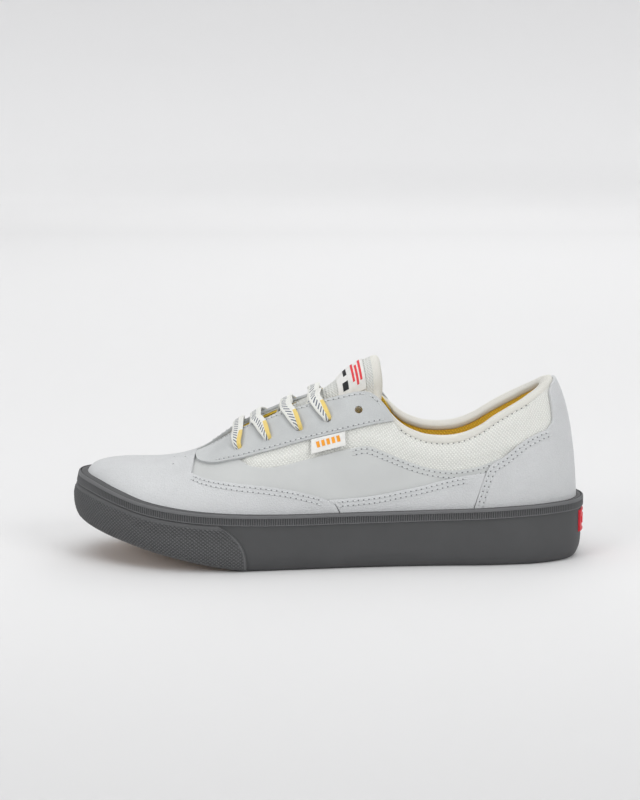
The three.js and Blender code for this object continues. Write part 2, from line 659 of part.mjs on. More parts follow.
// ---- lace ----
// A bar joins the first two eyelets. From there each end runs inside, comes up through the gap
// between the eyestays and goes down through the next eyelet of the other side.
const LACED = 4;
const sideShare = (side, s) => (side < 0 ? s : 1 - s);
function eyeletPoint(side, row, depth) {
  const [s, lift] = EYELETS[row];
  return under(sideShare(side, s), lift, depth);
}
function gapPoint(side, row, ahead, liftAbove, depth) {
  const s = EYELETS[row][0] + ahead;
  return under(sideShare(side, s), smooth(EYESTAY_TOP, s) + liftAbove, depth);
}
const ABOVE = -LACE_THICK / 2 - 0.8;
const BELOW = LINING_LAYER[1] + LACE_THICK / 2 + 0.8;
// Where the two ends cross over the tongue, one passes over the other.
const CROSSING = { over: 1.2, under: 1.2 + LACE_THICK + 0.5 };
function strand(start, crossing) {
  const points = [];
  let side = start;
  for (let row = 0; row < LACED; row += 1) {
    points.push(eyeletPoint(side, row, ABOVE), eyeletPoint(side, row, BELOW));
    if (row === LACED - 1) break;
    points.push(gapPoint(side, row, -0.006, 3, BELOW - 1.2));
    points.push(under((EYELETS[row][0] + EYELETS[row + 1][0]) / 2, 90, crossing));
    side = -side;
    points.push(gapPoint(side, row + 1, 0.01, 2, ABOVE));
    points.push(gapPoint(side, row + 1, 0.006, -5, ABOVE));
  }
  return points;
}
const bar = [gapPoint(-1, 0, 0, 2, ABOVE - 0.5), gapPoint(1, 0, 0, 2, ABOVE - 0.5)];
const lacePath = new THREE.CatmullRomCurve3([
  ...strand(-1, CROSSING.over).reverse(), ...bar, ...strand(1, CROSSING.under),
], false, "centripetal");
function tube(path, radius, sides, count) {
  const section = new THREE.Shape(steps(0, 1, sides).slice(1).map((t) => (
    new THREE.Vector2(radius * Math.cos(2 * Math.PI * t), radius * Math.sin(2 * Math.PI * t)))));
  const geometry = new THREE.ExtrudeGeometry(section, {
    extrudePath: path,
    steps: count,
    bevelEnabled: false,
  });
  geometry.deleteAttribute("normal");
  geometry.deleteAttribute("uv");
  return mergeVertices(geometry, 1e-4);
}
add("lace", tube(lacePath, LACE_THICK / 2, 6, 96), COLOR.lace, 0.9);

// Each end goes down inside the quarter and lies doubled on the sockliner under the vamp.
const ON_SOCK = SOCK_LOW + SOCKLINER + LACE_THICK / 2 + 1.6;
const AGLET = { radius: 1.4, length: 22 };
const LACE_ENDS = {
  lateral: [[-20, -27.5], [-40, -31], [-60, -33], [-80, -31.5], [-96, -26], [-106, -17], [-103, -8],
    [-92, -5], [-75, -7], [-58, -9]],
  medial: [[-20, 26], [-40, 29], [-60, 32], [-80, 33], [-96, 31], [-106, 23], [-103, 14], [-92, 10],
    [-75, 9], [-58, 8]],
};
for (const [name, points] of Object.entries(LACE_ENDS)) {
  const side = name === "lateral" ? -1 : 1;
  const s = EYELETS[LACED - 1][0];
  const drop = [[0.001, -1.5], [0.004, -7], [0.008, -16], [0.013, -26]].map(([ahead, down], i) => (
    under(sideShare(side, s + ahead), EYELETS[LACED - 1][1] + down, BELOW + 0.5 * i)));
  const lying = points.map(([x, y]) => new THREE.Vector3(x, y, spring(x) + ON_SOCK));
  const path = new THREE.CatmullRomCurve3([...drop, ...lying], false, "centripetal");
  add("lace_end_" + name, tube(path, LACE_THICK / 2, 6, 32), COLOR.lace, 0.9);
  const tip = path.getPoint(1);
  const heading = path.getTangent(1).setZ(0.02).normalize();
  const aglet = new THREE.CylinderGeometry(AGLET.radius, AGLET.radius, AGLET.length, 10);
  aglet.applyQuaternion(new THREE.Quaternion().setFromUnitVectors(new THREE.Vector3(0, 1, 0), heading));
  const middle = tip.addScaledVector(heading, AGLET.length / 2 + GAP);
  aglet.translate(middle.x, middle.y, middle.z + AGLET.radius);
  add("aglet_" + name, aglet, COLOR.white, 0.3);
}

// The origin goes to the middle of the sole's own length and width.
const middleOf = (values) => (Math.min(...values) + Math.max(...values)) / 2;
shoe.position.set(-middleOf(outlineTable.map((p) => p.x)), -middleOf(outlineTable.map((p) => p.y)), 0);

export default shoe;
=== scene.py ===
"""A low lace-up shoe with a vulcanised rubber sole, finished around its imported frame. Metres."""
import math

import bmesh
import bpy
import numpy as np
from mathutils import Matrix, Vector


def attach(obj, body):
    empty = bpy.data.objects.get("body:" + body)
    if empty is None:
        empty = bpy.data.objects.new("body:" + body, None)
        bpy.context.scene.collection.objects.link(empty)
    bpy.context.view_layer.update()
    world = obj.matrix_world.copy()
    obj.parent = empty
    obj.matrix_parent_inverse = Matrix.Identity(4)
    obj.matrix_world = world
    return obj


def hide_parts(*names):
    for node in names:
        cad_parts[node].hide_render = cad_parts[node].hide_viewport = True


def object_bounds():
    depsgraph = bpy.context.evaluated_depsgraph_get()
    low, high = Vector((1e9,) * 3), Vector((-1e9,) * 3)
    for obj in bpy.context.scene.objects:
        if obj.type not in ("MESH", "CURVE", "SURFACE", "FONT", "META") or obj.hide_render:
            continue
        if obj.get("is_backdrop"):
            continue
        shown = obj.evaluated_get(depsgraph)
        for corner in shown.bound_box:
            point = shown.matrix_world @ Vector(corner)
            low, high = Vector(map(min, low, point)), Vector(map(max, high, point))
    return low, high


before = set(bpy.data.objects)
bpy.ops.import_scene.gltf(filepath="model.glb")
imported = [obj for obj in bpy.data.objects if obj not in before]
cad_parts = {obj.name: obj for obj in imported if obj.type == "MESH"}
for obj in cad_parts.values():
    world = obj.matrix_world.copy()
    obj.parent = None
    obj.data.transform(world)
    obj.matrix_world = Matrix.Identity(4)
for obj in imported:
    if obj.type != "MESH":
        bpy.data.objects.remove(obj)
CAD_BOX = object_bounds()
scene = bpy.context.scene

# ---------------------------------------------------------------- sizes, in millimetres
MM = 0.001
FEATHER = 15.6  # height at which the upper starts
FOXING = 32.0  # height of the rubber wall at the waist
UPPER_INSET = 3.7  # from the sole's outline in to the upper's foot
STRIPE = 6.0  # height of the ribbed strip
LEAN, LEAN_HEIGHT = 3.4, 14.0  # how far the wall curls in at the ground, and up to where
TOE_SLOPE, UPPER_TOE_SLOPE = 3.0, 1.7  # how far the wall and the upper lean back at the toe
LINING_TOP, LINING = 5.0, 1.0  # the lining's depth under the upper's outer face, and its thickness
COLLAR_PAD = 3.6  # how far the collar's foam pushes the lining in
CORE_INSET = 7.6  # from the outline in to the outsole and the midsole
BOARD_INSET = UPPER_INSET + 8.3
COLLAR_END = 0.194  # share at which the collar meets the lace stay
SEAM_GAP = 0.0007  # share of the girth left open between two pieces laid edge to edge

OUTLINE = [
    (148.5, 0), (143, -18), (126, -31), (98, -37.5), (60, -39.5), (20, -43.5), (-20, -50),
    (-55, -54.5), (-85, -52.5), (-112, -42), (-132, -25), (-143.5, -4), (-145, 14), (-138, 30),
    (-120, 43), (-92, 50.5), (-60, 51.5), (-25, 45), (15, 37), (55, 35.5), (95, 37), (126, 31),
    (143, 18),
]
TOE_SPRING = [
    (-145, 21), (-121, 15.5), (-102, 11), (-81, 6.4), (-60, 2.4), (-44, 0.4), (-32, 0), (-22, 0),
    (150, 0),
]
RIM_LIFT = [
    (-145, 15.5), (-136, 14.2), (-121, 10.8), (-101, 5.9), (-80, 2.9), (-45, 0.6), (15, 0), (82, 1),
    (132, 2.8), (149, 3),
]
TOP_LINE = [
    (-100, 53.4), (-90, 55), (-80, 57.4), (-70, 61.4), (-50, 75), (-25, 89), (0, 101), (25, 110),
    (55, 115), (80, 116),
]
TOP_LINE_Y = [(-100, 6), (-60, 2), (-20, 0), (80, 0)]
FULLNESS = [
    (-145, 0.2), (-128, 0.4), (-110, 0.7), (-90, 0.9), (-60, 0.9), (-20, 0.82), (20, 0.8), (60, 0.8),
    (100, 0.6), (125, 0.42), (142, 0.33),
]
# Edges of the upper's pieces on the outer side: lift in degrees over share of the girth.
COLLAR_EDGE = [
    (0, 62), (0.03, 58.5), (0.048, 54.5), (0.065, 50.5), (0.074, 48.5), (0.095, 43.5), (0.115, 38.2),
    (0.133, 35.2), (0.151, 34.6), (0.167, 36.2), (0.184, 41.5), (0.195, 48.5),
]
EYESTAY_TOP = [
    (0.189, 44), (0.194, 49), (0.204, 57), (0.21, 60.3), (0.217, 62), (0.233, 63.7), (0.25, 65.7),
    (0.3, 74), (0.325, 79.5), (0.34, 84), (0.356, 88), (0.3597, 88.6),
]
EYESTAY_FOOT = [
    (0.189, 43), (0.232, 43), (0.267, 44.6), (0.299, 47), (0.325, 51), (0.34, 56.5), (0.348, 62),
    (0.3535, 67), (0.3575, 73), (0.3597, 81),
]
MESH_FOOT = [
    (0.085, 28), (0.096, 27), (0.121, 23.7), (0.145, 22.7), (0.164, 24.3), (0.181, 27.3), (0.196, 30.7),
    (0.211, 34.2), (0.225, 34.6), (0.266, 35), (0.282, 35.7), (0.299, 38.5), (0.311, 43.5), (0.32, 51),
    (0.34, 59.5), (0.346, 65), (0.352, 75), (0.36, 83), (0.372, 86),
]
VAMP_EDGE = [
    (0.234, 10.5), (0.2375, 13.5), (0.245, 16), (0.267, 21), (0.283, 24.5), (0.305, 29.5), (0.324, 34.5),
    (0.346, 44.5), (0.36, 54),
]
LOW_QUARTER_EDGE = [
    (0.1, 22.3), (0.118, 21.5), (0.135, 20.5), (0.152, 19), (0.168, 17.5), (0.184, 16.5), (0.201, 15.5),
    (0.234, 15.5), (0.25, 16),
]
COUNTER_EDGE = [
    (0.041, 43), (0.048, 38), (0.06, 35.8), (0.071, 34), (0.096, 27), (0.111, 22.3), (0.1245, 8),
]
# Places of the eyelets from the throat up: share, lift.
EYELETS = [(0.319, 58.5), (0.294, 55.2), (0.268, 53), (0.244, 52), (0.218, 51.5)]


# ---------------------------------------------------------------- the last's surface


def smooth(keys, x):
    """A curve through the keys, with slopes weighted by the neighbouring spans."""
    k = np.asarray(keys, float)
    xs, vs = k[:, 0], k[:, 1]
    h = np.diff(xs)
    rise = np.diff(vs) / h
    slope = np.empty_like(vs)
    slope[0], slope[-1] = rise[0], rise[-1]
    slope[1:-1] = (rise[:-1] * h[1:] + rise[1:] * h[:-1]) / (h[:-1] + h[1:])
    x = np.clip(np.asarray(x, float), xs[0], xs[-1])
    i = np.clip(np.searchsorted(xs, x, side="right") - 1, 0, len(xs) - 2)
    t = (x - xs[i]) / h[i]
    t2, t3 = t * t, t * t * t
    return ((2 * t3 - 3 * t2 + 1) * vs[i] + (t3 - 2 * t2 + t) * slope[i] * h[i]
            + (3 * t2 - 2 * t3) * vs[i + 1] + (t3 - t2) * slope[i + 1] * h[i])


def step01(x, low, high):
    t = np.clip((np.asarray(x, float) - low) / (high - low), 0, 1)
    return t * t * (3 - 2 * t)


def arc_length(line):
    return np.concatenate([[0], np.cumsum(np.linalg.norm(np.diff(line, axis=0), axis=1))])


def outline_table(count=1440):
    n = len(OUTLINE)
    wrapped = np.array([OUTLINE[(i + n) % n] for i in range(-2, n + 3)], float)
    along = arc_length(wrapped)
    u = np.linspace(along[2], along[2 + n], count + 1)
    points = np.stack([smooth(np.c_[along, wrapped[:, k]], u) for k in (0, 1)], 1)
    return points, arc_length(points)


TABLE, TABLE_LENGTH = outline_table()
GIRTH = TABLE_LENGTH[-1]
CENTRE = (TABLE.min(0) + TABLE.max(0)) / 2  # the frame's origin is under the middle of the sole
AXES = np.array([*CENTRE, 0.0])


def outline(s, inset=0.0):
    """Points (x, y) of the sole's outline at shares s of its girth, moved in by inset."""
    at = np.asarray(s, float) * GIRTH

    def point(length):
        length = np.mod(length, GIRTH)
        return np.stack([np.interp(length, TABLE_LENGTH, TABLE[:, k]) for k in (0, 1)], -1)

    d = point(at + 1.5) - point(at - 1.5)
    d /= np.linalg.norm(d, axis=-1, keepdims=True)
    inward = np.stack([d[..., 1], -d[..., 0]], -1)
    return point(at) + inward * np.asarray(inset, float)[..., None]


def spring(x):
    return smooth(TOE_SPRING, x)


def rim(x):
    return FOXING + smooth(RIM_LIFT, x)


def toe_share(x):
    return 1 - step01(x, -140, -105)


def tucked(s, inset):
    return outline(s, inset + UPPER_TOE_SLOPE * toe_share(outline(s)[..., 0]))


def soft_clamp(x, low=-100.0, high=80.0, blend=14.0):
    up = low + blend * np.log1p(np.exp((x - low) / blend))
    return high - blend * np.log1p(np.exp((high - up) / blend))


def last(s, lift):
    """Points of the upper's outer face: lift is 0 degrees at the feather edge and 90 on the top line."""
    s, lift = np.broadcast_arrays(np.asarray(s, float), np.asarray(lift, float))
    foot = tucked(s, UPPER_INSET)
    fx, fy = foot[..., 0], foot[..., 1]
    tx = soft_clamp(fx)
    start = FEATHER + spring(fx)
    tz, ty = smooth(TOP_LINE, tx), smooth(TOP_LINE_Y, tx)
    turn = np.radians(lift)
    c = np.maximum(np.cos(turn), 0) ** smooth(FULLNESS, fx)
    return np.stack([fx * c + tx * (1 - c), fy * c + ty * (1 - c), start + (tz - start) * np.sin(turn)], -1)


def unit(vectors):
    return vectors / np.linalg.norm(vectors, axis=-1, keepdims=True)


def last_normal(s, lift):
    """Directions out of the last. They blend into the top line's own where the two sides meet."""
    s, lift = np.broadcast_arrays(np.asarray(s, float), np.asarray(lift, float))
    along = last(s + 0.002, lift) - last(s - 0.002, lift)
    upward = last(s, np.minimum(lift + 0.5, 89.95)) - last(s, lift - 0.5)
    n = -np.cross(along, upward)
    n /= np.linalg.norm(n, axis=-1, keepdims=True) + 1e-12
    tx = soft_clamp(tucked(s, UPPER_INSET)[..., 0])
    slope = (smooth(TOP_LINE, tx + 1) - smooth(TOP_LINE, tx - 1)) / 2
    top = unit(np.stack([-slope, np.zeros_like(slope), np.ones_like(slope)], -1))
    near_top = step01(lift, 87.0, 89.9)[..., None]
    return unit(np.where(near_top >= 1, top, n * (1 - near_top) + top * near_top))


def under(s, lift, depth):
    """Points at a depth under the upper's outer face."""
    return last(s, lift) - last_normal(s, lift) * np.asarray(depth, float)[..., None]


def side(s):
    """Share on the outer side that mirrors s."""
    s = np.mod(np.asarray(s, float), 1)
    return np.minimum(s, 1 - s)


TIP = min(np.linspace(0.47, 0.53, 121), key=lambda s: tucked(s, UPPER_INSET)[0])


def halved(below, low, high):
    """The values between low and high at which below(values) turns false."""
    for _ in range(40):
        middle = (low + high) / 2
        less = below(middle)
        low, high = np.where(less, middle, low), np.where(less, high, middle)
    return (low + high) / 2


def partner(s):
    """Shares on the inner side whose feather edge is level with shares on the outer side."""
    x = tucked(s, UPPER_INSET)[..., 0]
    return halved(lambda other: tucked(other, UPPER_INSET)[..., 0] < x,
                  np.full_like(x, 0.5), np.full_like(x, 0.86))


def wall(s, depth, z):
    """Points on the sole's wall at a depth under its outline."""
    s, depth, z = np.broadcast_arrays(*(np.asarray(v, float) for v in (s, depth, z)))
    x = outline(s)[..., 0]
    ground = spring(x)
    above = (z - ground - LEAN_HEIGHT) / (rim(x) - ground - LEAN_HEIGHT)
    p = outline(s, depth + TOE_SLOPE * toe_share(x) * np.maximum(above, 0))
    return np.concatenate([p, z[..., None]], -1)


def lean(height):
    return LEAN * (1 - np.clip(height / LEAN_HEIGHT, 0, 1)) ** 3


# ---------------------------------------------------------------- meshes


def paint_loops(mesh, layer, values):
    """A UV map from one pair of numbers at each point."""
    uv = mesh.uv_layers.new(name=layer)
    index = np.empty(len(mesh.loops), np.int32)
    mesh.loops.foreach_get("vertex_index", index)
    uv.data.foreach_set("uv", values[index].astype(np.float32).ravel())


def make_piece(name, points, faces, uv=None):
    """A mesh object from points in millimetres in the last's own axes."""
    mesh = bpy.data.meshes.new(name)
    p = (np.asarray(points, float) - AXES) * MM
    mesh.from_pydata(p.tolist(), [], [tuple(int(v) for v in f) for f in faces])
    if uv is not None:
        paint_loops(mesh, "cloth", np.asarray(uv, float) * MM)
    obj = bpy.data.objects.new(name, mesh)
    scene.collection.objects.link(obj)
    mesh.validate()
    return obj


def facing_out(points, faces):
    tri = np.array([(f[0], f[1], f[2]) for f in faces] + [(f[0], f[2], f[3]) for f in faces if len(f) == 4])
    a, b, c = (points[tri[:, k]] for k in range(3))
    if np.einsum("ij,ij->i", a, np.cross(b, c)).sum() < 0:
        return [tuple(reversed(f)) for f in faces]
    return faces


def grid_faces(nu, nv, start):
    i, j = np.meshgrid(np.arange(nu - 1), np.arange(nv - 1), indexing="ij")
    k = start + i * nv + j
    return np.stack([k, k + nv, k + nv + 1, k + 1], -1).reshape(-1, 4)


def turn_out(mesh):
    """Turns every face of a closed mesh outwards."""
    bm = bmesh.new()
    bm.from_mesh(mesh)
    bmesh.ops.recalc_face_normals(bm, faces=bm.faces)
    bm.to_mesh(mesh)
    bm.free()


def skin(name, grids, uvs=None):
    """A closed sheet from grids of (outer, inner) points. Coinciding outer points are joined."""
    outer, inner = (np.concatenate([g[k].reshape(-1, 3) for g in grids]) for k in (0, 1))
    faces, start = [], 0
    for g in grids:
        nu, nv = g[0].shape[:2]
        faces.append(grid_faces(nu, nv, start))
        start += nu * nv
    _, first, same = np.unique(np.round(outer, 3), axis=0, return_index=True, return_inverse=True)
    n = len(first)
    sheet_faces, edges = [], set()
    for f in same.reshape(-1)[np.concatenate(faces)].tolist():
        ring = [v for k, v in enumerate(f) if v != f[k - 1]]
        if len(ring) < 3:
            continue
        sheet_faces.append(tuple(ring))
        edges.update((ring[k - 1], ring[k]) for k in range(len(ring)))
    back = [tuple(n + v for v in reversed(f)) for f in sheet_faces]
    border = [(b, a, n + a, n + b) for a, b in edges if (b, a) not in edges]
    points = np.concatenate([outer[first], inner[first]])
    uv = None if uvs is None else np.tile(np.concatenate([u.reshape(-1, 2) for u in uvs])[first], (2, 1))
    return make_piece(name, points, facing_out(points, sheet_faces + back + border), uv)


def surface_uv(points, s):
    """Distances along and up the surface, in millimetres."""
    up = np.concatenate([np.zeros_like(points[:, :1, 0]),
                         np.cumsum(np.linalg.norm(np.diff(points, axis=1), axis=-1), 1)], 1)
    along = np.broadcast_to(np.asarray(s, float)[:, None] * GIRTH, up.shape)
    return np.stack([along, up], -1)


def loop_rings(name, sections, uv=None, closed=True):
    """A solid swept through equal rings of points: sections[i, j] is point j of ring i."""
    nu, nv = sections.shape[:2]
    points = sections.reshape(-1, 3)
    i, j = np.meshgrid(np.arange(nu if closed else nu - 1), np.arange(nv), indexing="ij")
    k, m, j2 = i * nv, ((i + 1) % nu) * nv, (j + 1) % nv
    sides = [tuple(f) for f in np.stack([k + j, m + j, m + j2, k + j2], -1).reshape(-1, 4).tolist()]
    ends = [] if closed else [tuple(reversed(range(nv))), tuple(range((nu - 1) * nv, nu * nv))]
    faces = sides + ends
    if facing_out(points, sides) is not sides:
        faces = [tuple(reversed(f)) for f in faces]
    return make_piece(name, points, faces, uv)


def only(obj):
    bpy.ops.object.select_all(action="DESELECT")
    obj.select_set(True)
    bpy.context.view_layer.objects.active = obj


def soft_edges(obj, width=0.35, segments=2):
    """Rounds the cut edges of a piece and shades it smooth."""
    only(obj)
    bevel = obj.modifiers.new("edge", "BEVEL")
    bevel.width = width * MM
    bevel.segments = segments
    bevel.limit_method = "ANGLE"
    bevel.angle_limit = math.radians(45)
    bevel.use_clamp_overlap = True
    bpy.ops.object.modifier_apply(modifier=bevel.name)
    shade(obj)


def shade(obj, angle=50):
    only(obj)
    bpy.ops.object.shade_smooth_by_angle(angle=math.radians(angle))


def finish_piece(obj, material, body="shoe", node=None, slot=None):
    """Gives a piece its material and body, and hides the CAD node or nodes that it stands for. The slot is
    not used.
    """
    obj.data.materials.clear()
    obj.data.materials.append(material)
    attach(obj, body)
    if node:
        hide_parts(*([node] if isinstance(node, str) else node))
    return obj


def sheet(name, grids, material, uvs=None, holes=(), rounding=0.0, angle=50, **given):
    """A finished sheet: drilled, its cut edges rounded by a width or only shaded smooth."""
    piece = skin(name, grids, uvs)
    if holes:
        drill(piece, *holes)
    if rounding:
        soft_edges(piece, rounding)
    else:
        shade(piece, angle)
    return finish_piece(piece, material, **given)


# ---------------------------------------------------------------- materials


class Paint:
    """A small helper that builds one material's nodes."""

    def __init__(self, name, roughness=0.6, **sockets):
        self.material = bpy.data.materials.new(name)
        self.material.use_nodes = True
        self.tree = self.material.node_tree
        self.shader = self.tree.nodes["Principled BSDF"]
        self.shader.inputs["Roughness"].default_value = roughness
        for key, value in sockets.items():
            self.shader.inputs[key.replace("_", " ")].default_value = value
        self.height = None

    def feed(self, socket, value):
        """Links a socket to another node's output, or sets its value."""
        if isinstance(value, bpy.types.NodeSocket):
            self.tree.links.new(value, socket)
        else:
            socket.default_value = value

    def node(self, kind, settings=None, **inputs):
        made = self.tree.nodes.new(kind)
        for key, value in (settings or {}).items():
            setattr(made, key, value)
        for key, value in inputs.items():
            self.feed(made.inputs[key.replace("_", " ")], value)
        return made

    def uv(self, layer="cloth"):
        return self.node("ShaderNodeUVMap", {"uv_map": layer}).outputs["UV"]

    def place(self, scale=(1, 1, 1), uv=False, turn=0.0):
        """Where a point is: on the object, or on the cloth."""
        out = self.uv() if uv else self.node("ShaderNodeTexCoord").outputs["Object"]
        mapping = self.node("ShaderNodeMapping", Vector=out, Scale=scale, Rotation=(0, 0, turn))
        return mapping.outputs["Vector"]

    def split(self, vector):
        return self.node("ShaderNodeSeparateXYZ", Vector=vector).outputs

    def noise(self, scale, detail=4.0, at=None, roughness=0.55):
        return self.node("ShaderNodeTexNoise", Scale=scale, Detail=detail, Roughness=roughness,
                         Vector=at or self.place()).outputs["Fac"]

    def cells(self, scale, feature="F1"):
        return self.node("ShaderNodeTexVoronoi", {"feature": feature}, Scale=scale,
                         Vector=self.place()).outputs["Distance"]

    def waves(self, scale, at, direction="X"):
        n = self.node("ShaderNodeTexWave", {"bands_direction": direction}, Scale=scale, Vector=at)
        return n.outputs["Fac"]

    def maths(self, operation, a, b=0.0):
        n = self.node("ShaderNodeMath", {"operation": operation})
        self.feed(n.inputs[0], a)
        self.feed(n.inputs[1], b)
        return n.outputs[0]

    def ramp(self, value, stops):
        """stops: (place, colour or grey level)."""
        n = self.node("ShaderNodeValToRGB", Fac=value)
        elements = n.color_ramp.elements
        while len(elements) < len(stops):
            elements.new(0.5)
        for element, (at, color) in zip(elements, stops):
            element.position = at
            element.color = (*(color if isinstance(color, tuple) else (color,) * 3), 1)
        return n.outputs["Color"]

    def mix(self, factor, a, b):
        n = self.node("ShaderNodeMix", {"data_type": "RGBA"})
        for index, value in ((0, factor), (6, a), (7, b)):
            self.feed(n.inputs[index], value if not isinstance(value, tuple) else (*value, 1))
        return n.outputs[2]

    def color(self, socket):
        self.feed(self.shader.inputs["Base Color"], socket)

    def rough(self, tone, stops):
        self.feed(self.shader.inputs["Roughness"], self.ramp(tone, stops))

    def bump(self, height, distance, strength=1.0):
        """Adds relief over the relief that the material already has."""
        n = self.node("ShaderNodeBump", Height=height, Distance=distance, Strength=strength)
        if self.height is not None:
            self.feed(n.inputs["Normal"], self.height)
        self.height = n.outputs["Normal"]
        self.feed(self.shader.inputs["Normal"], self.height)


def scaled(color, k):
    return tuple(min(c * k, 1.0) for c in color)


def drift(paint, tone, color, darker, paler):
    """A colour that drifts a little with a noise."""
    return paint.ramp(tone, [(0.3, scaled(color, darker)), (0.7, scaled(color, paler))])


def varied(paint, color, spread, scale, detail=3.0):
    paint.color(drift(paint, paint.noise(scale, detail), color, 1 - spread, 1 + spread))


LIGHT_GREY = (0.605, 0.616, 0.625)
PANEL_GREY = (0.55, 0.563, 0.558)
SUEDE_GREY = (0.53, 0.547, 0.55)
OFF_WHITE = (0.81, 0.815, 0.775)
YELLOW = (1.0, 0.68, 0.075)
RUBBER = (0.070, 0.071, 0.073)


def tumbled_leather():
    p = Paint("tumbled_leather", 0.52, Specular_IOR_Level=0.42)
    grain = p.cells(720, "DISTANCE_TO_EDGE")
    broad = p.noise(160, 3)
    p.bump(broad, 0.0005, 0.35)
    p.bump(p.ramp(grain, [(0.0, 0), (0.16, 1)]), 0.00022, 0.55)
    p.bump(p.noise(2600, 2), 0.00006, 0.3)
    tone = drift(p, p.noise(30, 4), LIGHT_GREY, 0.95, 1.04)
    p.color(p.mix(p.ramp(grain, [(0.0, 0.35), (0.1, 0)]), tone, scaled(LIGHT_GREY, 0.8)))
    p.rough(broad, [(0.3, 0.46), (0.7, 0.62)])
    return p.material


def smooth_leather():
    p = Paint("smooth_leather", 0.5, Specular_IOR_Level=0.4)
    p.bump(p.noise(420, 4), 0.00018, 0.4)
    p.bump(p.cells(1900, "DISTANCE_TO_EDGE"), 0.00005, 0.4)
    varied(p, PANEL_GREY, 0.035, 34)
    p.rough(p.noise(90, 3), [(0.3, 0.44), (0.7, 0.58)])
    return p.material


def suede():
    p = Paint("suede", 0.95, Specular_IOR_Level=0.15, Sheen_Weight=0.35, Sheen_Roughness=0.45)
    nap = p.noise(1500, 6, roughness=0.7)
    p.bump(nap, 0.00022, 0.7)
    p.bump(p.noise(140, 3), 0.0003, 0.3)
    tone = drift(p, p.noise(60, 5), SUEDE_GREY, 0.93, 1.05)
    p.color(p.mix(p.ramp(nap, [(0.35, 0.3), (0.6, 0)]), tone, scaled(SUEDE_GREY, 0.78)))
    return p.material


WAVE = math.pi / 10  # a wave texture of this scale has one band in each unit
ROW_TURN = 0.72  # how far the knit's rows lean, in radians


def knit(name, color, pitch):
    """Knitted cloth: crossing diagonal rows of loops, following the cloth."""
    p = Paint(name, 0.9, Specular_IOR_Level=0.2, Sheen_Weight=0.25)
    rows = WAVE / (pitch * MM)
    one, two = (p.waves(rows, p.place(uv=True, turn=turn)) for turn in (ROW_TURN, -ROW_TURN))
    loops = p.maths("MULTIPLY", one, two)
    p.bump(loops, 0.00035, 0.8)
    p.bump(p.noise(3200, 3, p.place(uv=True)), 0.00008, 0.4)
    p.color(p.ramp(loops, [(0.0, scaled(color, 0.84)), (0.35, color), (1.0, scaled(color, 1.04))]))
    return p.material


def rubber(name, color, roughness=0.62):
    p = Paint(name, roughness, Specular_IOR_Level=0.35)
    p.bump(p.noise(900, 4), 0.00008, 0.45)
    p.bump(p.noise(60, 2), 0.0003, 0.15)
    scuff = p.noise(45, 6, roughness=0.65)
    p.color(p.ramp(scuff, [(0.3, scaled(color, 0.92)), (0.75, scaled(color, 1.12))]))
    p.rough(scuff, [(0.3, roughness - 0.07), (0.7, roughness + 0.1)])
    return p.material


def relief_shaded_rubber(name, color):
    """Rubber with a moulded pattern, tinted by its relief: painted shade darkens its hollows and a painted
    highlight lightens its crests.
    """
    p = Paint(name, 0.66, Specular_IOR_Level=0.35)
    relief = p.split(p.place(scale=(1 / MM,) * 3, uv=True))[0]
    # Painted shade where the relief value is low, painted highlight where it is high.
    base = p.ramp(relief, [(0.0, scaled(color, 0.62)), (0.4, scaled(color, 1.05)), (1.0, scaled(color, 2.0))])
    p.color(p.mix(p.ramp(p.noise(45, 6), [(0.3, 0), (0.8, 0.25)]), base, scaled(color, 1.3)))
    p.bump(p.noise(900, 4), 0.00008, 0.4)
    return p.material


def thread(name, color):
    p = Paint(name, 0.7, Specular_IOR_Level=0.3)
    p.bump(p.noise(2800, 2), 0.00006, 0.5)
    varied(p, color, 0.06, 300)
    return p.material


def woven(name, color, pitch=0.55):
    """Plain woven tape."""
    p = Paint(name, 0.85, Specular_IOR_Level=0.2, Sheen_Weight=0.2)
    one, two = (p.waves(WAVE / (pitch * MM), p.place(uv=True), way) for way in "XY")
    weave = p.maths("MULTIPLY", one, two)
    p.bump(weave, 0.0002, 0.7)
    p.color(p.ramp(weave, [(0.0, scaled(color, 0.82)), (0.5, color), (1.0, scaled(color, 1.05))]))
    return p.material


def foam(name, color):
    p = Paint(name, 0.95, Specular_IOR_Level=0.1)
    pores = p.cells(900)
    p.bump(pores, 0.0004, 0.8)
    p.color(p.ramp(pores, [(0.0, scaled(color, 0.6)), (0.5, color)]))
    return p.material


def lace_cloth():
    """Flat braid: off-white with dark slanting dashes, and gold along one edge near the eyelets."""
    p = Paint("lace_braid", 0.85, Specular_IOR_Level=0.25, Sheen_Weight=0.2)
    along, across = p.split(p.uv())[:2]
    near_eyelet = p.split(p.uv("tint"))[0]

    def plait(lean_in, pitch):
        slanted = p.maths("ADD", along, p.maths("MULTIPLY", across, lean_in))
        return p.maths("FRACT", p.maths("MULTIPLY", slanted, 1 / (pitch * MM)))

    height = p.maths("MAXIMUM", *(p.maths("PINGPONG", plait(way, 1.0), 0.5) for way in (1.0, -1.0)))
    p.bump(height, 0.0004, 0.9)
    dash = p.maths("LESS_THAN", plait(1.1, 2.6), 0.4)
    band = p.maths("LESS_THAN", p.maths("ABSOLUTE", p.maths("ADD", across, 0.7 * MM)), 1.35 * MM)
    inward = p.maths("ADD", across, p.maths("MULTIPLY", near_eyelet, 1.6 * MM))
    gold = p.maths("MULTIPLY", p.maths("GREATER_THAN", inward, 1.9 * MM),
                   p.maths("GREATER_THAN", near_eyelet, 0.22))
    base = p.ramp(height, [(0.1, scaled(OFF_WHITE, 0.86)), (0.5, scaled(OFF_WHITE, 1.1))])
    dashed = p.mix(p.maths("MULTIPLY", dash, band), base, (0.10, 0.12, 0.17))
    p.color(p.mix(p.maths("MULTIPLY", gold, 0.85), dashed, (0.84, 0.60, 0.10)))
    return p.material


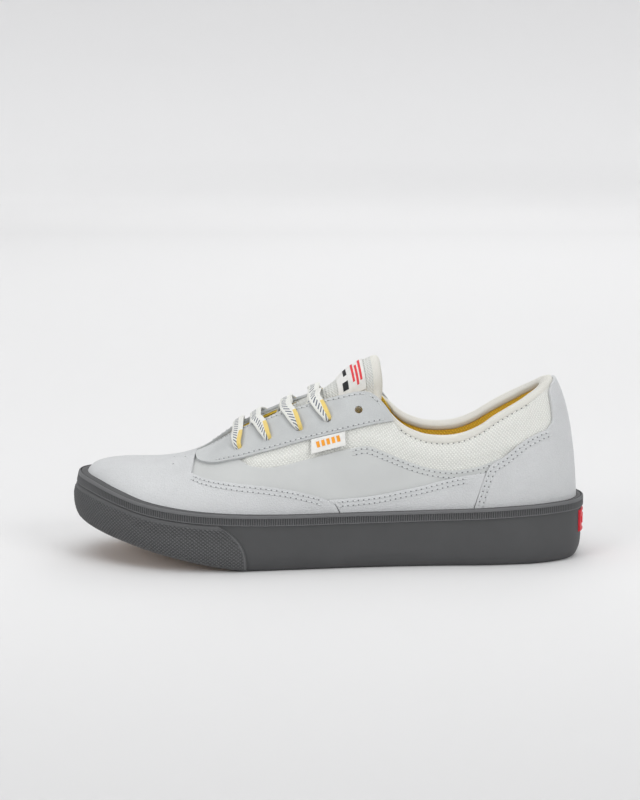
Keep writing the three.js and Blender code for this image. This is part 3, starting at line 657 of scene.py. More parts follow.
def plain_board():
    p = Paint("fibre_board", 0.9)
    varied(p, (0.48, 0.38, 0.24), 0.12, 300, 6)
    p.bump(p.noise(1200, 4), 0.0001, 0.6)
    return p.material


def film():
    p = Paint("aglet_film", 0.18, Specular_IOR_Level=0.6, Coat_Weight=0.4)
    varied(p, (0.78, 0.78, 0.74), 0.04, 200)
    p.bump(p.noise(500, 2), 0.00005, 0.3)
    return p.material


LEATHER = tumbled_leather()
SMOOTH = smooth_leather()
SUEDE = suede()
KNIT = knit("quarter_knit", OFF_WHITE, 1.5)
TONGUE_KNIT = knit("tongue_knit", (0.72, 0.73, 0.70), 1.2)
LINING_KNIT = knit("lining_knit", YELLOW, 1.5)
WALL = rubber("grey_rubber", RUBBER)
RIBBED = relief_shaded_rubber("relief_shaded_rubber", RUBBER)
GUM = rubber("gum_rubber", (0.42, 0.25, 0.13), 0.6)
RED = rubber("red_rubber", (0.62, 0.015, 0.03), 0.4)
THREAD = thread("seam_thread", (0.66, 0.68, 0.68))
# Painted shade: the colour of the dark discs at the needle holes between stitches.
HOLE_SHADE = thread("needle_hole_shade", (0.16, 0.165, 0.17))
WHITE_THREAD = thread("white_thread", (0.82, 0.82, 0.77))
TAPE = woven("white_tape", OFF_WHITE)
FOAM = foam("pale_foam", (0.66, 0.64, 0.56))
BOARD = plain_board()
LACE = lace_cloth()
FILM = film()


# ---------------------------------------------------------------- camera, floor and light
VIEW_TARGET = Vector((-0.00455, 0.0013, 0.089))
VIEW_DISTANCE = 1.272
VIEW_ELEVATION = math.radians(9)


def make_camera():
    data = bpy.data.cameras.new("view")
    data.lens = 100
    data.sensor_width = 36
    data.clip_end = 50
    camera = bpy.data.objects.new("view", data)
    scene.collection.objects.link(camera)
    back = Vector((0, -math.cos(VIEW_ELEVATION), math.sin(VIEW_ELEVATION)))
    camera.location = VIEW_TARGET + back * VIEW_DISTANCE
    camera.rotation_euler = (-back).to_track_quat("-Z", "Y").to_euler()
    scene.camera = camera


SWEEP_REACH, SWEEP_COVE, SWEEP_HEIGHT, SWEEP_SIDES = 5.0, 2.0, 6.0, 96
UNDER_FOOT = 0.0002  # the floor's drop under the sole
# Tones of the sweep, with painted light and shade in them: the floor's tone is set by a quarter of its
# distance behind the shoe and grows paler farther back, the wall's is set by its height and grows darker
# higher up.
FLOOR_TONES = [(0.56, (0.785, 0.785, 0.788)), (0.7, (0.915, 0.915, 0.918)), (0.76, (0.95, 0.95, 0.953))]
WALL_TONES = [(0.06, (0.985, 0.985, 0.99)), (0.16, (0.965, 0.965, 0.97)), (0.27, (0.93, 0.93, 0.935)),
              (0.4, (0.895, 0.895, 0.9))]
# Painted shade for the floor nearest the camera.
FRONT_PAINTED_SHADE = (0.53, 0.53, 0.533)


def make_stage():
    """A pale sweep: floor, cove and wall in one sheet, round the shoe on every side."""
    flat = SWEEP_REACH - SWEEP_COVE
    profile = [(flat - 0.15, 0.0), (flat, 0.0)]
    profile += [(flat + SWEEP_COVE * math.sin(a), SWEEP_COVE - SWEEP_COVE * math.cos(a))
                for a in np.linspace(0, math.pi / 2, 17)[1:]]
    profile.append((SWEEP_REACH, SWEEP_HEIGHT))
    points, faces, n = [], [], len(profile)
    for i in range(SWEEP_SIDES):
        turn = 2 * math.pi * i / SWEEP_SIDES
        points += [(r * math.cos(turn), r * math.sin(turn), z - UNDER_FOOT) for r, z in profile]
        a, b = i * n, ((i + 1) % SWEEP_SIDES) * n
        faces += [(a + j, b + j, b + j + 1, a + j + 1) for j in range(n - 1)]
    faces.append(tuple(i * n for i in range(SWEEP_SIDES)))
    mesh = bpy.data.meshes.new("sweep")
    mesh.from_pydata(points, [], faces)
    floor = bpy.data.objects.new("sweep", mesh)
    scene.collection.objects.link(floor)
    shade(floor, 30)
    paint = Paint("pale_sweep", 0.9, Specular_IOR_Level=0.1)
    _, depth, height = paint.split(paint.place())
    ground = paint.ramp(paint.maths("MULTIPLY", depth, 0.25), FLOOR_TONES)
    rising = paint.ramp(height, [(0.0, 0), (0.06, 1)])
    sweep = paint.mix(rising, ground, paint.ramp(height, WALL_TONES))
    # Painted shade: the floor nearest the camera is darkened.
    near = paint.ramp(paint.maths("ADD", depth, 1.0), [(0.25, 1), (0.95, 0)])
    paint.color(paint.mix(near, sweep, FRONT_PAINTED_SHADE))
    floor.data.materials.append(paint.material)
    floor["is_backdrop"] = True


def make_light(name, place, size, power, target=(0, 0, 0.05)):
    data = bpy.data.lights.new(name, "AREA")
    data.shape = "DISK"
    data.size = size
    data.energy = power
    lamp = bpy.data.objects.new(name, data)
    scene.collection.objects.link(lamp)
    lamp.location = place
    lamp.rotation_euler = (Vector(target) - Vector(place)).to_track_quat("-Z", "Y").to_euler()


def make_lights():
    make_light("overhead", (-0.15, -0.25, 2.3), 2.4, 13)
    make_light("front_left", (-1.9, -2.0, 1.2), 1.6, 24)
    make_light("front_right", (1.9, -2.1, 1.5), 1.6, 32)
    make_light("back", (0.4, 2.2, 1.6), 1.8, 9)
    make_light("wall_wash", (0, 1.6, 2.2), 1.8, 6.5, target=(0, 4.6, 0.3))
    world = bpy.data.worlds.new("studio")
    scene.world = world
    world.use_nodes = True
    world.node_tree.nodes["Background"].inputs["Color"].default_value = (1, 1, 1, 1)
    world.node_tree.nodes["Background"].inputs["Strength"].default_value = 0.86
    scene.view_settings.view_transform = "Standard"


make_camera()
make_stage()
make_lights()

# ---------------------------------------------------------------- lace
LACED = 4
LACE_WIDTH = 7.2
LACE_THICK = 1.3
CAD_LACE = 2.2
ABOVE = -CAD_LACE / 2 - 0.3
BELOW = LINING_TOP + LINING + CAD_LACE / 2 + 0.8
CROSS_OVER, CROSS_UNDER = 1.2, 1.2 + CAD_LACE + 0.5
ON_SOCK = 21.5 + CAD_LACE / 2 + 1.6
LACE_ENDS = {
    -1: [(-20, -27.5), (-40, -31), (-60, -33), (-80, -31.5), (-96, -26), (-106, -17), (-103, -8), (-92, -5),
         (-75, -7), (-58, -9)],
    1: [(-20, 26), (-40, 29), (-60, 32), (-80, 33), (-96, 31), (-106, 23), (-103, 14), (-92, 10), (-75, 9),
        (-58, 8)],
}
AGLET_RADIUS, AGLET_LENGTH = 1.4, 22.0
# How far along the lace an eyelet pinches it and shows its gold edge, and how far an end narrows.
PINCH_REACH, GOLD_REACH, END_REACH = 5.0, 9.0, 6.0


def on(hand, s):
    """The share on the outer side (hand -1) or its mirror on the inner side (hand 1)."""
    return s if hand < 0 else 1 - s


def knot(s, lift, depth):
    """A point of the lace's route with the way that its flat side faces."""
    return under(s, lift, depth), last_normal(s, lift)


def strand(hand, crossing):
    route = []
    for row in range(LACED):
        s, lift = EYELETS[row]
        route += [knot(on(hand, s), lift, ABOVE), knot(on(hand, s), lift, BELOW)]
        if row == LACED - 1:
            return route, hand
        route.append(knot(on(hand, s - 0.006), smooth(EYESTAY_TOP, s - 0.006) + 3, BELOW - 1.2))
        ahead, ahead_lift = EYELETS[row + 1]
        route.append(knot((s + ahead) / 2, 90.0, crossing))
        hand = -hand
        for forward, rise in ((0.01, 2), (0.006, -5)):
            share = ahead + forward
            route.append(knot(on(hand, share), smooth(EYESTAY_TOP, share) + rise, ABOVE))


def tail(hand):
    s, lift = EYELETS[LACED - 1]
    drop = [(0.001, -1.5), (0.004, -7), (0.008, -16), (0.013, -26)]
    route = [knot(on(hand, s + ahead), lift + down, BELOW + 0.5 * i) for i, (ahead, down) in enumerate(drop)]
    lying = [np.array([x, y, float(spring(x)) + ON_SOCK]) for x, y in LACE_ENDS[hand]]
    return route + [(p, np.array([0.0, 0.0, 1.0])) for p in lying]


def centripetal(points, normals, step=0.5):
    """A centripetal curve through the points, cut every step, with normals carried along."""
    p = np.concatenate([[2 * points[0] - points[1]], points, [2 * points[-1] - points[-2]]])
    line, facing = [], []
    for i in range(1, len(p) - 2):
        x0, x1, x2, x3 = p[i - 1:i + 3]
        d0, d1, d2 = (max(np.linalg.norm(b - a) ** 0.5, 1e-2) for a, b in ((x0, x1), (x1, x2), (x2, x3)))
        m1 = ((x1 - x0) / d0 - (x2 - x0) / (d0 + d1) + (x2 - x1) / d1) * d1
        m2 = ((x2 - x1) / d1 - (x3 - x1) / (d1 + d2) + (x3 - x2) / d2) * d1
        count = max(int(np.linalg.norm(x2 - x1) / step), 2)
        t = np.linspace(0, 1, count, endpoint=False)[:, None]
        line.append((2 * t**3 - 3 * t**2 + 1) * x1 + (t**3 - 2 * t**2 + t) * m1
                    + (3 * t**2 - 2 * t**3) * x2 + (t**3 - t**2) * m2)
        facing.append(normals[i - 1] * (1 - t) + normals[i] * t)
    line.append(points[-1:])
    facing.append(normals[-1:])
    return np.concatenate(line), np.concatenate(facing)


def flat_frames(line, facing):
    """Directions across and through a flat lace that turns as little as it can."""
    along = np.gradient(line, axis=0)
    along /= np.linalg.norm(along, axis=1, keepdims=True)
    through = np.empty_like(line)
    now = facing[0]
    for i, t in enumerate(along):
        now = now - t * now.dot(t)
        wish = facing[i] - t * facing[i].dot(t)
        pull = 0.16 * np.linalg.norm(wish) ** 2
        now = now + wish * pull * (1 if wish.dot(now) >= 0 else -1)
        now = now / np.linalg.norm(now)
        through[i] = now
    return along, np.cross(through, along), through


def make_lace():
    first, first_hand = strand(-1, CROSS_OVER)
    second, second_hand = strand(1, CROSS_UNDER)
    s, _ = EYELETS[0]
    bar = [knot(on(hand, s), smooth(EYESTAY_TOP, s) + 2, ABOVE - 0.3) for hand in (-1, 1)]
    route = (first + tail(first_hand))[::-1] + bar + second + tail(second_hand)
    line, facing = centripetal(*(np.array(part) for part in zip(*route)))
    along, across, through = flat_frames(line, facing)
    length = arc_length(line)
    holes = [under(on(hand, s), lift, 1.0) for s, lift in EYELETS[:LACED] for hand in (-1, 1)]
    apart = np.min([np.linalg.norm(line - hole, axis=1) for hole in holes], axis=0)
    pinch = np.exp(-(apart / PINCH_REACH) ** 2)
    end = np.exp(-(np.minimum(length, length[-1] - length) / END_REACH) ** 2)
    width = LACE_WIDTH * (1 - 0.42 * pinch - 0.6 * end)
    thick = LACE_THICK * (1 + 0.45 * pinch + 0.6 * end)
    turn = np.linspace(0, 2 * math.pi, 16, endpoint=False)
    wide = np.sign(np.cos(turn)) * np.abs(np.cos(turn)) ** 0.55 / 2
    high = np.sign(np.sin(turn)) * np.abs(np.sin(turn)) ** 0.75 / 2
    rings = (line[:, None] + across[:, None] * (width[:, None] * wide)[..., None]
             + through[:, None] * (thick[:, None] * high)[..., None])
    uv = np.stack(np.broadcast_arrays(length[:, None], (LACE_WIDTH * wide)[None]), -1).reshape(-1, 2)
    lace = loop_rings("lace_braid", rings, uv, closed=False)
    near = np.repeat(np.exp(-(apart / GOLD_REACH) ** 2), len(turn))
    paint_loops(lace.data, "tint", np.stack([near, near], 1))
    shade(lace, 60)
    finish_piece(lace, LACE, node=("lace", "lace_end_lateral", "lace_end_medial"), slot="lace")
    aglets = [make_aglet(name, line[at], along[at] * way)
              for name, at, way in (("medial", 0, -1), ("lateral", -1, 1))]
    metres = (line - AXES) * MM
    path = metres[::3].tolist() + [metres[-1].tolist()]
    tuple(path[0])


def make_aglet(name, tip, heading):
    heading = Vector((heading[0], heading[1], 0.02)).normalized()
    middle = Vector(((tip - AXES) * MM).tolist())
    middle += heading * (AGLET_LENGTH / 2 - 1.5) * MM + Vector((0, 0, 0.3 * MM))
    bpy.ops.object.select_all(action="DESELECT")
    bpy.ops.mesh.primitive_cylinder_add(vertices=32, radius=AGLET_RADIUS * MM, depth=AGLET_LENGTH * MM,
                                        location=middle, rotation=heading.to_track_quat("Z", "Y").to_euler())
    aglet = bpy.context.object
    aglet.name = "aglet_tip_" + name
    bpy.ops.object.transform_apply(location=True, rotation=True, scale=True)
    soft_edges(aglet, 0.35, 3)
    return finish_piece(aglet, FILM, node="aglet_" + name, slot="aglet")


make_lace()


# ---------------------------------------------------------------- sole
AROUND = np.linspace(0, 1, 720, endpoint=False)


def seat_at(s, z, depth):
    """Points where the upper's surface is at height z, at a depth under it."""
    lift = halved(lambda middle: last(s, middle)[..., 2] < z, np.zeros_like(s), np.full_like(s, 60.0))
    p = under(s, lift, depth)
    p[:, 2] = z
    return p


WALL_DEEP = 1.25  # the wall's face under the strips that are laid on it


def make_foxing():
    s = AROUND
    x = outline(s)[..., 0]
    low, high = spring(x), rim(x)
    face = [(0.9 + lean(0), 0.0), (0.25 + lean(0.3), 0.3)]
    face += [(lean(h), h) for h in (1.0, 2, 3.5, 5, 7, 9, 11.5, 14, 17)]
    section = [(WALL_DEEP + float(d), low + h) for d, h in face]
    section += [(WALL_DEEP, high - 1.2), (1.32, high - 0.5), (1.55, high - 0.1), (1.9, high)]
    rings = [wall(s, d, z) for d, z in section]
    rings += [seat_at(s, high - drop, depth) for drop, depth in ((0.1, -0.35), (0.45, 0.0), (1.6, 0.35))]
    rings += [np.concatenate([outline(s, d), (low + h)[:, None]], -1)
              for d, h in ((3.25, 15.3), (7.4, 15.3), (7.4, 0.0))]
    foxing = loop_rings("foxing_wall", np.stack(rings, 1))
    shade(foxing, 40)
    finish_piece(foxing, WALL, node="foxing_tape", slot="rubber_grey")


RIB_PITCH = 1.3
RIB_DEEP = 0.6


def make_stripe():
    """Ribbed strip along the top of the wall, with a plain border above the ribs."""
    count = int(GIRTH / RIB_PITCH)
    s = np.arange(count * 4) / (count * 4)
    rib = 0.5 - 0.5 * np.cos(2 * math.pi * count * s)
    high = rim(outline(s)[..., 0])
    low = high - STRIPE
    section = [(0.35, low), (0.1, low + 0.2), (0.04, low + 0.5), (RIB_DEEP * rib, low + 0.75),
               (RIB_DEEP * rib, high - 1.9), (0, high - 1.65), (0, high - 0.9), (0.08, high - 0.35),
               (0.35, high - 0.06), (0.95, high + 0.02), (0.95, low)]
    rings = np.stack([wall(s, d, z) for d, z in section], 1)
    # Tint for the rubber: painted shade in the ribs' grooves, painted highlight on their crests and on the
    # plain faces.
    relief = np.ones(rings.shape[:2])
    relief[:, 3:5] = 0.9 - 0.8 * rib[:, None]
    stripe = loop_rings("ribbed_stripe", rings, np.repeat(relief.reshape(-1, 1), 2, 1))
    shade(stripe, 35)
    finish_piece(stripe, RIBBED, node="foxing_stripe", slot="rubber_grey")


DIAMOND_PITCH = 1.95
DIAMOND_SLOPE = 1.25
STRIP_SEAT = 1.22  # depth of a strip's hidden face


BUMPER_TOP, BUMPER_FOOT = 0.3345, 0.311  # shares of the bumper's end at its upper and lower corners


def make_bumper():
    """Toe bumper with small diamonds, a plain border along its top and a ridge at each end."""
    across, up = 760, 60
    u, t = np.linspace(0, 1, across), np.linspace(0, 1, up)
    t = 0.5 * t + 0.5 * (t * t * (3 - 2 * t))
    start = (BUMPER_FOOT + (BUMPER_TOP - BUMPER_FOOT) * t ** 3)[None]
    s = start + (1 - 2 * start) * u[:, None]
    x = outline(s)[..., 0]
    low, high = spring(x) + 0.25, rim(x) - STRIPE - 0.25
    z = low + (high - low) * t[None]
    from_end = np.minimum(s - start, 1 - start - s) * GIRTH
    from_top, from_foot = high - z, z - low
    diamonds = np.minimum(*(np.abs(np.sin(math.pi * (s * GIRTH + way * z * DIAMOND_SLOPE)
                                          / DIAMOND_PITCH / DIAMOND_SLOPE)) for way in (1, -1)))
    field = step01(from_end, 1.6, 2.0) * step01(from_top, 2.2, 2.8) * step01(from_foot, 0.8, 1.4)
    ridge = 0.3 * np.exp(-((from_end - 1.0) / 0.5) ** 2)
    relief = 0.7 * diamonds * field + 0.25 * (1 - field) + ridge
    # Tint for the rubber: painted shade in the diamonds' grooves, painted highlight on their crests, the
    # plain border and the end ridges.
    tone = np.repeat((diamonds * field + 0.6 * (1 - field) + ridge)[..., None], 2, -1)
    from_rim = np.minimum(np.minimum(from_top, from_end * 1.3), from_foot + 0.6)
    round_off = 0.95 * (1 - step01(from_rim, -0.2, 1.3)) ** 1.5
    leaning = lean(z - spring(x))
    grid = wall(s, leaning + 0.45 - relief + round_off, z), wall(s, leaning + STRIP_SEAT, z)
    sheet("toe_bumper_strip", [grid], RIBBED, [tone], angle=60, node="toe_bumper", slot="rubber_grey")


BADGE_SHARE = 0.0195  # half of the badge's width, as a share of the girth
BADGE_WIDE, BADGE_TALL = 13.2, 6.3  # halves of its face
BADGE_LOW, BADGE_HIGH = 14.6, 27.2


def make_heel_tab():
    """Red rubber badge with a raised border and three plain bars."""
    u, t = np.meshgrid(np.linspace(-1, 1, 121), np.linspace(-1, 1, 61), indexing="ij")
    x, y = np.abs(u) * BADGE_WIDE, np.abs(t) * BADGE_TALL
    corner = 2.0 - np.sqrt(np.maximum(x - BADGE_WIDE + 2, 0) ** 2 + np.maximum(y - BADGE_TALL + 2, 0) ** 2)
    inside = np.minimum(np.minimum(corner, BADGE_WIDE - x + 0.2), BADGE_TALL - y + 0.2)
    raised = step01(inside, 0.0, 0.35) * (1 - step01(inside, 1.0, 1.3))
    for centre, reach in ((-6.0, 1.9), (0.0, 3.2), (6.0, 1.9)):
        bar = step01(2.3 - np.abs(u * BADGE_WIDE - centre), 0, 0.3) * step01(reach - y, 0, 0.3)
        raised = np.maximum(raised, bar)
    depth = 0.55 - 0.5 * raised + 0.5 * (1 - step01(inside, -0.1, 0.3))
    z = (BADGE_LOW + BADGE_HIGH) / 2 + t * (BADGE_HIGH - BADGE_LOW) / 2
    grid = wall(u * BADGE_SHARE, depth, z), wall(u * BADGE_SHARE, STRIP_SEAT, z)
    sheet("heel_badge", [grid], RED, angle=60, node="heel_tab", slot="rubber_red")


def make_plate(name, inset, low, high, material, rounding=0.5, place=outline, dish=None, **given):
    """A plate that fills the outline at an inset, between two heights over the ground."""
    s = np.linspace(0.002, 0.498, 200)
    a, b = place(s, inset), place(1 - s, inset)
    t = np.linspace(0, 1, 60)[None, :, None]
    flat = a[:, None] * (1 - t) + b[:, None] * t
    ground = spring(flat[..., 0])
    up = dish(t[..., 0]) if dish else 0.0
    top, bottom = (np.concatenate([flat, z[..., None]], -1) for z in (ground + high + up, ground + low))
    plate = skin(name, [(top, bottom)], [top[..., :2]])
    soft_edges(plate, rounding, 3)
    finish_piece(plate, material, **given)


LUG = 6.6
LUG_TALL = 1.3


def make_tread():
    """Diamond blocks over the outsole's face."""
    points, faces = [], []
    half, foot = LUG / 2 - 0.75, LUG / 2 - 0.35
    rows = int(300 / LUG * 1.5)
    for i in range(-rows, rows):
        for j in range(-rows, rows):
            x, y = (i + j) * LUG * 0.72, (i - j) * LUG * 0.52
            if not -150 < x < 150 or not -60 < y < 60:
                continue
            d = TABLE - [x, y]
            k = int(np.argmin(np.hypot(*d.T)))
            tangent = TABLE[(k + 1) % len(TABLE)] - TABLE[k - 1]
            outside = tangent[0] * -d[k][1] - tangent[1] * -d[k][0]
            if outside > 0 or np.hypot(*d[k]) < CORE_INSET + LUG * 0.72 + 0.2:
                continue
            ground = float(spring(x))
            slope = (float(spring(x + 2)) - float(spring(x - 2))) / 4
            a = len(points)
            for radius, z in ((half, 0.0), (foot, LUG_TALL + 0.2)):
                for dx, dy in ((1.44, 0), (0, 1.04), (-1.44, 0), (0, -1.04)):
                    px, py = x + dx * radius, y + dy * radius
                    points.append((px, py, ground + slope * (px - x) + z + 0.02))
            faces.append((a + 3, a + 2, a + 1, a))
            faces += [(a + k, a + (k + 1) % 4, a + 4 + (k + 1) % 4, a + 4 + k) for k in range(4)]
            faces.append((a + 4, a + 5, a + 6, a + 7))
    tread = make_piece("outsole_tread", points, faces)
    shade(tread, 30)
    finish_piece(tread, GUM, slot="rubber_gum")


def sock_dish(t):
    """The sockliner rises a little towards its sides."""
    return 1.2 * np.abs(2 * t - 1) ** 3


make_foxing()
make_stripe()
make_bumper()
make_heel_tab()
make_plate("outsole_sheet", CORE_INSET, LUG_TALL, 5.0, GUM, node="outsole", slot="rubber_gum")
make_tread()
make_plate("midsole_foam", CORE_INSET, 5.2, 15.0, FOAM, node="midsole", slot="foam")
make_plate("insole_fibre", BOARD_INSET, 15.6, 17.2, BOARD, place=tucked, node="insole_board", slot="board")
make_plate("sockliner_cloth", BOARD_INSET, 17.4, 21.3, LINING_KNIT, 0.9, tucked, sock_dish, node="sockliner",
           slot="lining_yellow")


# ---------------------------------------------------------------- upper
OVERLAY = (0.0, 1.65)
PANEL = (1.7, 2.8)
STIFFENER = (1.75, 2.8)
HANDS = {"lateral": -1, "medial": 1}


def edge(keys, shift=0.0):
    return lambda s: smooth(keys, s) + shift


def panel_grid(hand, shares, foot, top, depths, rows):
    """Points of a piece between two edges."""
    s = np.asarray(shares, float)[:, None]
    low, high = foot(s), top(s)
    return lifted_grid(hand, s, low + (high - low) * np.linspace(0, 1, rows)[None], depths)


def lifted_grid(hand, s, lift, depths):
    """Outer and inner points at shares and lifts. depths(s, lift) or a pair gives the depths of the faces."""
    s, lift = np.broadcast_arrays(s, lift)
    outer, inner = (under(on(hand, s), lift, d) for d in (depths(s, lift) if callable(depths) else depths))
    return (outer, inner), surface_uv(outer, s[:, 0])


def drill(obj, holes, radius, deep=12.0, sides=24):
    """Round holes at (share, lift, depth of the cutter's middle)."""
    points, faces = [], []
    for share, lift, middle in holes:
        centre, n = under(share, lift, middle), last_normal(share, lift)
        a = unit(np.cross(n, [0, 0, 1.0]))
        b = np.cross(n, a)
        start = len(points)
        for end in (-deep / 2, deep / 2):
            for k in range(sides):
                turn = 2 * math.pi * k / sides
                points.append(centre + n * end + (a * math.cos(turn) + b * math.sin(turn)) * radius)
        faces.append(tuple(range(start, start + sides)))
        faces.append(tuple(range(start + 2 * sides - 1, start + sides - 1, -1)))
        for k in range(sides):
            m = (k + 1) % sides
            faces.append((start + m, start + k, start + sides + k, start + sides + m))
    cutter = make_piece("cutter", np.array(points), faces)
    turn_out(cutter.data)
    hole = obj.modifiers.new("holes", "BOOLEAN")
    hole.operation = "DIFFERENCE"
    hole.solver = "EXACT"
    hole.object = cutter
    only(obj)
    bpy.ops.object.modifier_apply(modifier=hole.name)
    bpy.data.objects.remove(cutter)


def both(build):
    for name, hand in HANDS.items():
        build(name, hand)


def make_side_panel(name, hand):
    grid, uv = panel_grid(hand, np.linspace(0.085, 0.372, 220), lambda s: 0 * s, edge(MESH_FOOT), PANEL, 44)
    sheet("side_panel_skin_" + name, [grid], SMOOTH, [uv], rounding=0.3, node="side_panel_" + name,
          slot="leather_smooth")


def counter_front(lift):
    """Share of the heel counter's front edge at a lift."""
    shares, lifts = zip(*reversed(COUNTER_EDGE))
    return np.interp(lift, lifts, shares)


def vamp_back(lift):
    """Share of the vamp's rear edge at a lift."""
    shares, lifts = zip(*(key for key in VAMP_EDGE if key[1] <= 21))
    return np.interp(lift, lifts, shares)


def make_lower_quarter(name, hand):
    u, t = np.linspace(0, 1, 80)[:, None], np.linspace(0, 1, 18)[None]
    s = 0.12 + 0.12 * u + 0 * t
    for _ in range(30):  # the shares and the lifts settle on each other
        lift = smooth(LOW_QUARTER_EDGE, s) * t
        back, front = counter_front(lift) + SEAM_GAP, vamp_back(lift) - SEAM_GAP
        s = 0.5 * s + 0.5 * (back + (front - back) * u)
    grid, _ = lifted_grid(hand, s, lift, OVERLAY)
    sheet("lower_quarter_skin_" + name, [grid], LEATHER, rounding=0.35, node="lower_quarter_" + name,
          slot="leather_tumbled")


BAND = 1.7  # degrees of lift that the collar's binding covers on the outside


def knit_depths(s, lift):
    """The knit drops under the panel's edge and swells below the collar's seam."""
    foot = smooth(MESH_FOOT, s)
    top = smooth(COLLAR_EDGE, np.minimum(s, COLLAR_END))
    depth = 1.95 + 0.95 * (1 - step01(lift, foot + 0.2, foot + 4.5))
    collar = step01(s, 0.05, 0.08) * (1 - step01(s, 0.172, 0.19))
    below = top - BAND - lift
    swell = np.exp(-((below - 3.5) / 4.2) ** 2)
    depth = depth - 0.95 * swell * collar
    return depth, depth + 0.9


def make_quarter_knit(name, hand):
    def top(s):
        behind = smooth(COLLAR_EDGE, np.minimum(s, COLLAR_END)) - BAND + 0.6
        ahead = smooth(EYESTAY_FOOT, s) + 3
        return behind + (ahead - behind) * step01(s, 0.187, 0.195)

    grid, uv = panel_grid(hand, np.linspace(0.028, 0.336, 200), edge(MESH_FOOT, -3.5), top, knit_depths, 50)
    sheet("quarter_knit_" + name, [grid], KNIT, [uv], node="quarter_mesh_" + name, slot="knit_white")


def eyelet_holes(hand, middle=2.0):
    return [(on(hand, s), lift, middle) for s, lift in EYELETS]


def make_eyestay(name, hand):
    shares = np.unique(np.concatenate([np.linspace(0.1895, 0.21, 26), np.linspace(0.21, 0.345, 90),
                                       np.linspace(0.345, 0.3597, 24)]))
    grid, uv = panel_grid(hand, shares, edge(EYESTAY_FOOT), edge(EYESTAY_TOP), OVERLAY, 30)
    sheet("eyestay_suede_" + name, [grid], SUEDE, [uv], (eyelet_holes(hand), 2.2), 0.3,
          node="eyestay_" + name, slot="suede")
    grid, uv = panel_grid(hand, np.linspace(0.209, 0.342, 90), edge(EYESTAY_FOOT, 4), edge(EYESTAY_TOP, -0.6),
                          (1.75, 2.5), 20)
    sheet("eyestay_tape_" + name, [grid], TAPE, [uv], (eyelet_holes(hand), 2.6),
          node="eyestay_backing_" + name, slot="binding")


def make_counter():
    s = np.linspace(-0.1245, 0.1245, 190)[:, None]
    keys = [(0, 60.5), (0.02, 59), (0.032, 56), (0.038, 51.5)] + COUNTER_EDGE
    lift = smooth(keys, np.abs(s)) * np.linspace(0, 1, 56)[None]
    grid, _ = lifted_grid(-1, s, lift, OVERLAY)
    sheet("heel_counter_skin", [grid], LEATHER, rounding=0.35, node="heel_counter", slot="leather_tumbled")
    s = np.linspace(-0.08, 0.08, 90)[:, None]
    top = np.minimum(smooth(COUNTER_EDGE, np.maximum(np.abs(s), 0.041)), 42) - 5
    grid, _ = lifted_grid(-1, s, top * np.linspace(0, 1, 24)[None], STIFFENER)
    sheet("heel_stiffener_board", [grid], BOARD, rounding=0.3, node="heel_stiffener", slot="board")


def toe_sheet(back, throat, wing_top, rows, cap_rows, wing_count, cap_count, depths):
    """Wings along both sides, if there are any, that meet in a cap over the top line."""
    wings, shares = np.linspace(back, throat, wing_count), np.linspace(throat, TIP, cap_count)
    high = float(wing_top(throat))
    lifts = np.concatenate([np.linspace(0, high, rows), np.linspace(high, 90, cap_rows)[1:]])
    grids = []
    for hand in (-1, 1):
        def seat(values):
            return values if hand < 0 else np.where(np.abs(values - TIP) < 1e-9, TIP, partner(values))

        if wing_count:
            lift = wing_top(wings)[:, None] * np.linspace(0, 1, rows)[None]
            grids.append([under(seat(wings)[:, None], lift, d) for d in depths])
        grids.append([under(seat(shares)[:, None], lifts[None], d) for d in depths])
        if hand < 0:
            cap = grids[-1]
    for first, second in zip(cap, grids[-1]):
        second[:, -1] = first[:, -1]
        second[-1] = first[-1]
    half = len(grids) // 2
    return grids[:half] + [(outer[:, ::-1], inner[:, ::-1]) for outer, inner in grids[half:]]


PERFORATIONS = [(0.382, 71.5), (0.371, 81)]


def make_vamp():
    holes = [(0.387, 88.5, 0.0)]
    for s, lift in PERFORATIONS:
        holes += [(s, lift, 0.0), (float(partner(np.array(s))), lift, 0.0)]
    sheet("vamp_skin", toe_sheet(0.234, 0.36, edge(VAMP_EDGE), 40, 26, 90, 110, OVERLAY), LEATHER,
          holes=(holes, 0.8, 2.4, 14), rounding=0.35, node="vamp", slot="leather_tumbled")

    def middle_height(s):
        return 50.0 + 0 * np.asarray(s)

    sheet("toe_puff_board", toe_sheet(0.41, 0.41, middle_height, 20, 12, 0, 40, STIFFENER), BOARD,
          node="toe_puff", slot="board")
    sheet("vamp_lining_cloth", toe_sheet(0.36, 0.36, middle_height, 30, 16, 0, 60, (3.4, 4.4)), TAPE,
          node="vamp_lining", slot="knit_white")


both(make_side_panel)
both(make_lower_quarter)
both(make_quarter_knit)
both(make_eyestay)
make_counter()
make_vamp()

# ---------------------------------------------------------------- collar
FOAM_DEEP = 13.0


def foam_push(s, lift):
    """How far the lining stands off behind the collar's foam."""
    share = side(s)
    below = (smooth(COLLAR_EDGE, share) - lift) / FOAM_DEEP
    fade = 1 - step01(share, 0.175, 0.215)
    return (1 - step01(below, 0.8, 1.5)) * fade * COLLAR_PAD


def make_lining():
    s = np.linspace(-0.343, 0.343, 420)[:, None]
    share = np.abs(s)
    top = np.where(share < COLLAR_END, smooth(COLLAR_EDGE, share), smooth(EYESTAY_TOP, share)) - 1
    lift = top * np.linspace(0, 1, 46)[None]
    foot = smooth(EYESTAY_FOOT, share)
    drawn_up = step01(share, 0.188, 0.199) * step01(lift, foot + 1, foot + 7)
    front = LINING_TOP + foam_push(s, lift) - 2.3 * drawn_up
    grid, uv = lifted_grid(-1, s, lift, (front, front + LINING))
    sheet("quarter_lining_knit", [grid], LINING_KNIT, [uv],
          (eyelet_holes(-1, 4.0) + eyelet_holes(1, 4.0), 2.8, 9), node="quarter_lining", slot="lining_yellow")


